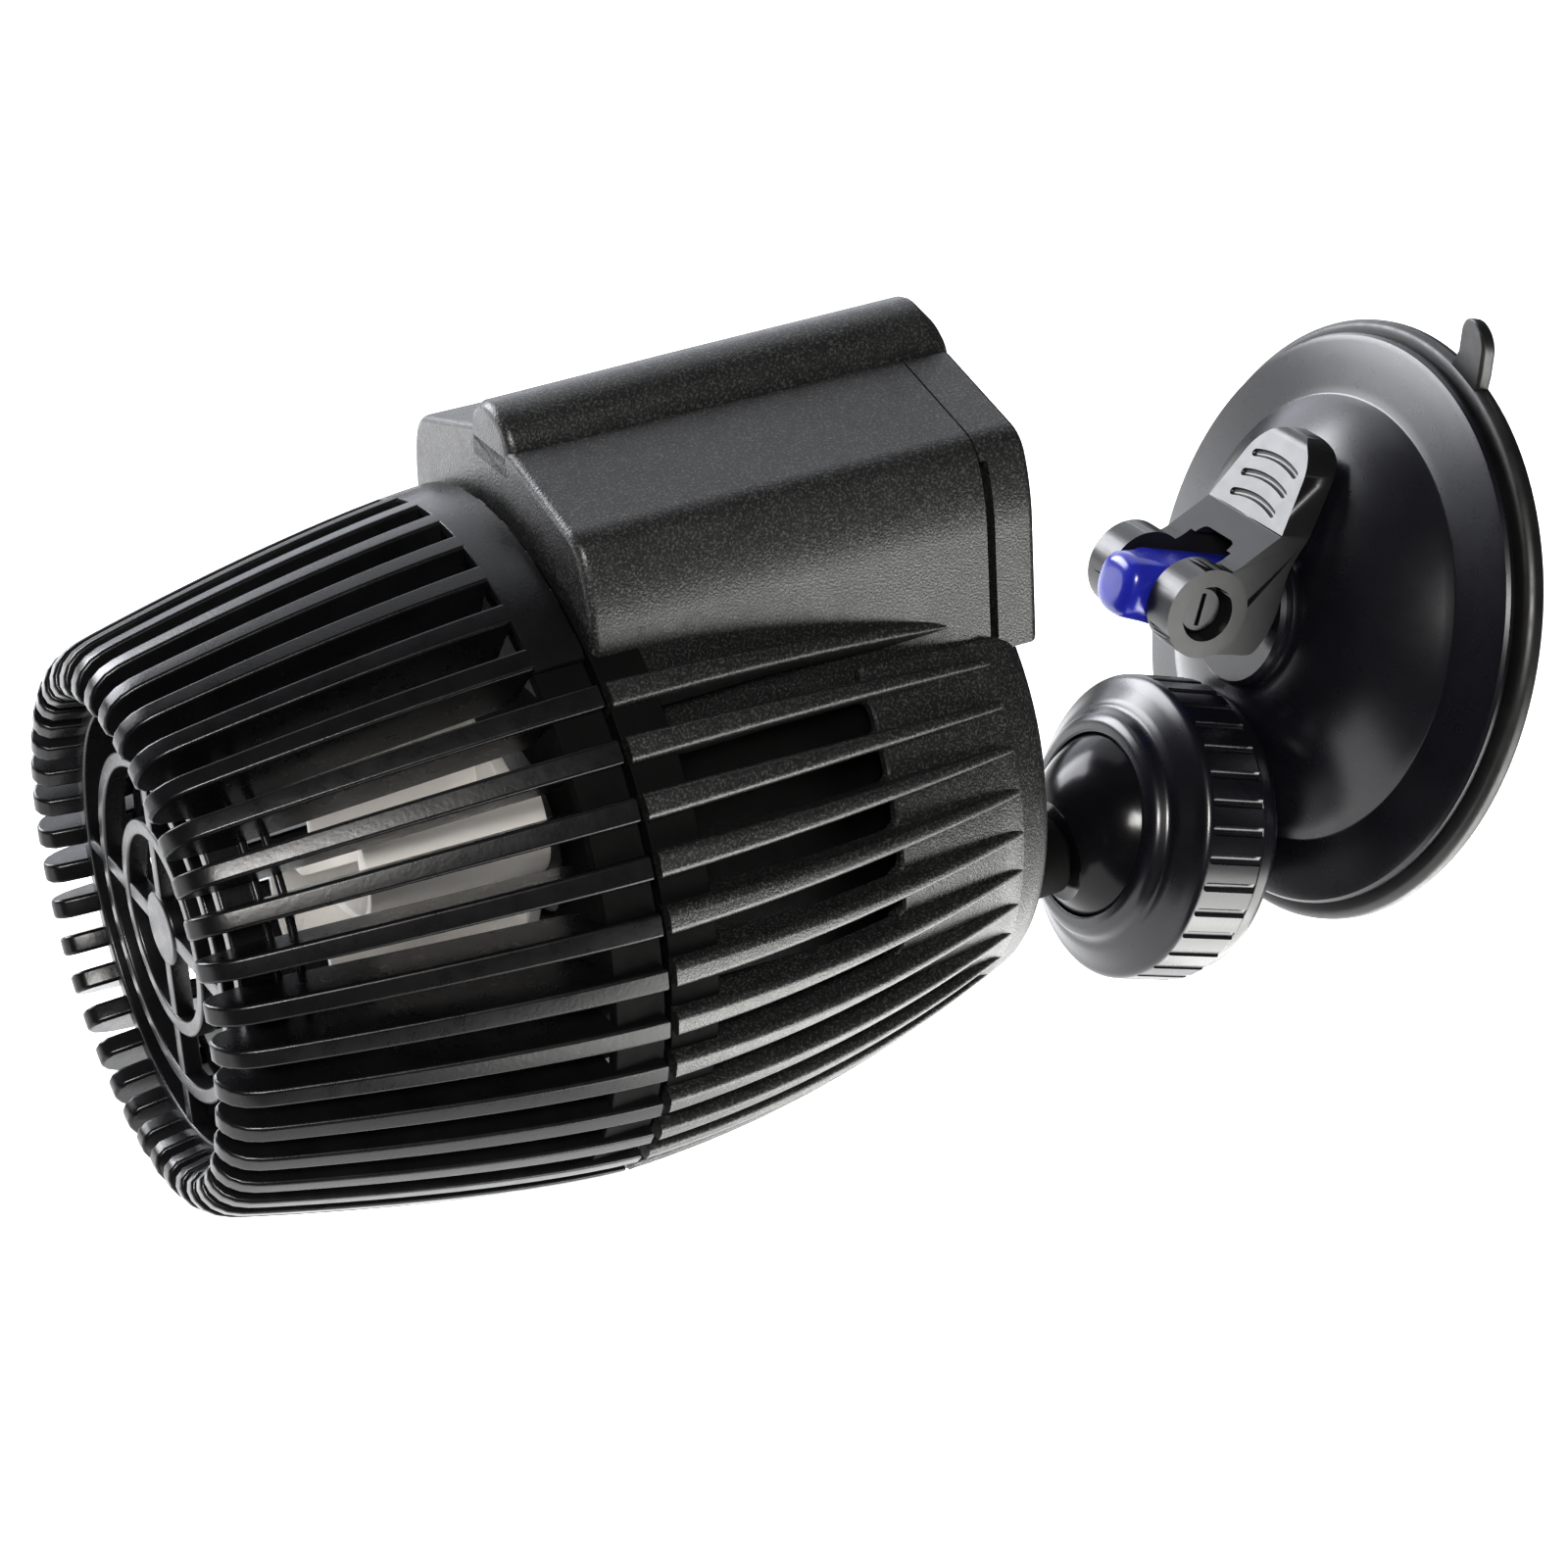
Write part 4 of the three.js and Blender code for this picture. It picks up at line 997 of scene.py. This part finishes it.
def softbox(name, place, target, size, power, tint):
    """A rectangular area light that faces its target."""
    light = bpy.data.objects.new(name, bpy.data.lights.new(name, "AREA"))
    light.data.shape = "RECTANGLE"
    light.data.size, light.data.size_y = size
    light.data.energy = power
    light.data.color = tint
    aim = Vector(target) - Vector(place)
    light.matrix_world = Matrix.Translation(place) @ aim.to_track_quat("-Z", "Y").to_matrix().to_4x4()
    bpy.context.scene.collection.objects.link(light)


def radiance(level, size):
    """The power in watts that gives a softbox of this size this brightness."""
    return level * math.pi * size[0] * size[1]


centre = Vector((0, -0.08, -0.02))
# name, direction from the centre, distance, size, brightness, tint
SOFTBOXES = (
    ("overhead", (-0.62, 0.08, 0.78), 1.0, (1.0, 0.9), 1.3, (0.93, 0.95, 1)),
    ("left_wall", (-1.3, 0.1, 0.42), 1.35, (1.5, 0.5), 1.8, (0.9, 0.93, 1)),
    ("left_front", (-0.81, -0.55, 0.37), 1.1, (0.72, 0.56), 11, (0.95, 0.96, 1)),
    ("right_back", (0.62, 0.5, -0.42), 0.7, (0.55, 0.45), 7, (1, 1, 0.97)),
    ("low_back", (0.06, 0.15, -0.16), 0.227, (0.22, 0.12), 4.5, (1, 1, 0.96)),
    ("key", (0.8, -0.55, 0.45), 0.8, (0.2, 0.2), 42, (1, 0.98, 0.95)),
)
for name, direction, distance, size, level, tint in SOFTBOXES:
    place = centre + Vector(direction).normalized() * distance
    softbox(name, place, centre, size, radiance(level, size), tint)

WORLD_STRENGTH = 0.05
EXPOSURE = 0.45
GAMMA = 0.86
world = bpy.data.worlds.new("studio")
world.use_nodes = True
world.node_tree.nodes["Background"].inputs["Color"].default_value = (1, 1, 1, 1)
world.node_tree.nodes["Background"].inputs["Strength"].default_value = WORLD_STRENGTH
bpy.context.scene.world = world
bpy.context.scene.view_settings.view_transform = "Standard"
bpy.context.scene.view_settings.exposure = EXPOSURE
bpy.context.scene.view_settings.gamma = GAMMA

table = Nodes("light_table")
table.set(Base_Color=(0.8, 0.8, 0.8, 1), Roughness=0.9, Emission_Color=(1, 1, 1, 1), Emission_Strength=1.0)
floor.data.materials.append(table.material)
backdrop(BACKDROP_R).data.materials.append(table.material)

VIEW = Vector((-0.804, 0.511, -0.304)).normalized()
CAMERA_UP = Vector((-0.381, -0.0485, 0.923))
CAMERA_PLACE = (0.3805, -0.3148, 0.1183)
CAMERA_LENS = 94.5
camera = bpy.data.objects.new("camera", bpy.data.cameras.new("camera"))
camera.data.lens = CAMERA_LENS
camera.data.sensor_width = 36
right = VIEW.cross(CAMERA_UP).normalized()
up = right.cross(VIEW)
turn = Matrix((right, up, -VIEW)).transposed().to_4x4()
camera.matrix_world = Matrix.Translation(CAMERA_PLACE) @ turn
bpy.context.scene.collection.objects.link(camera)
bpy.context.scene.camera = camera
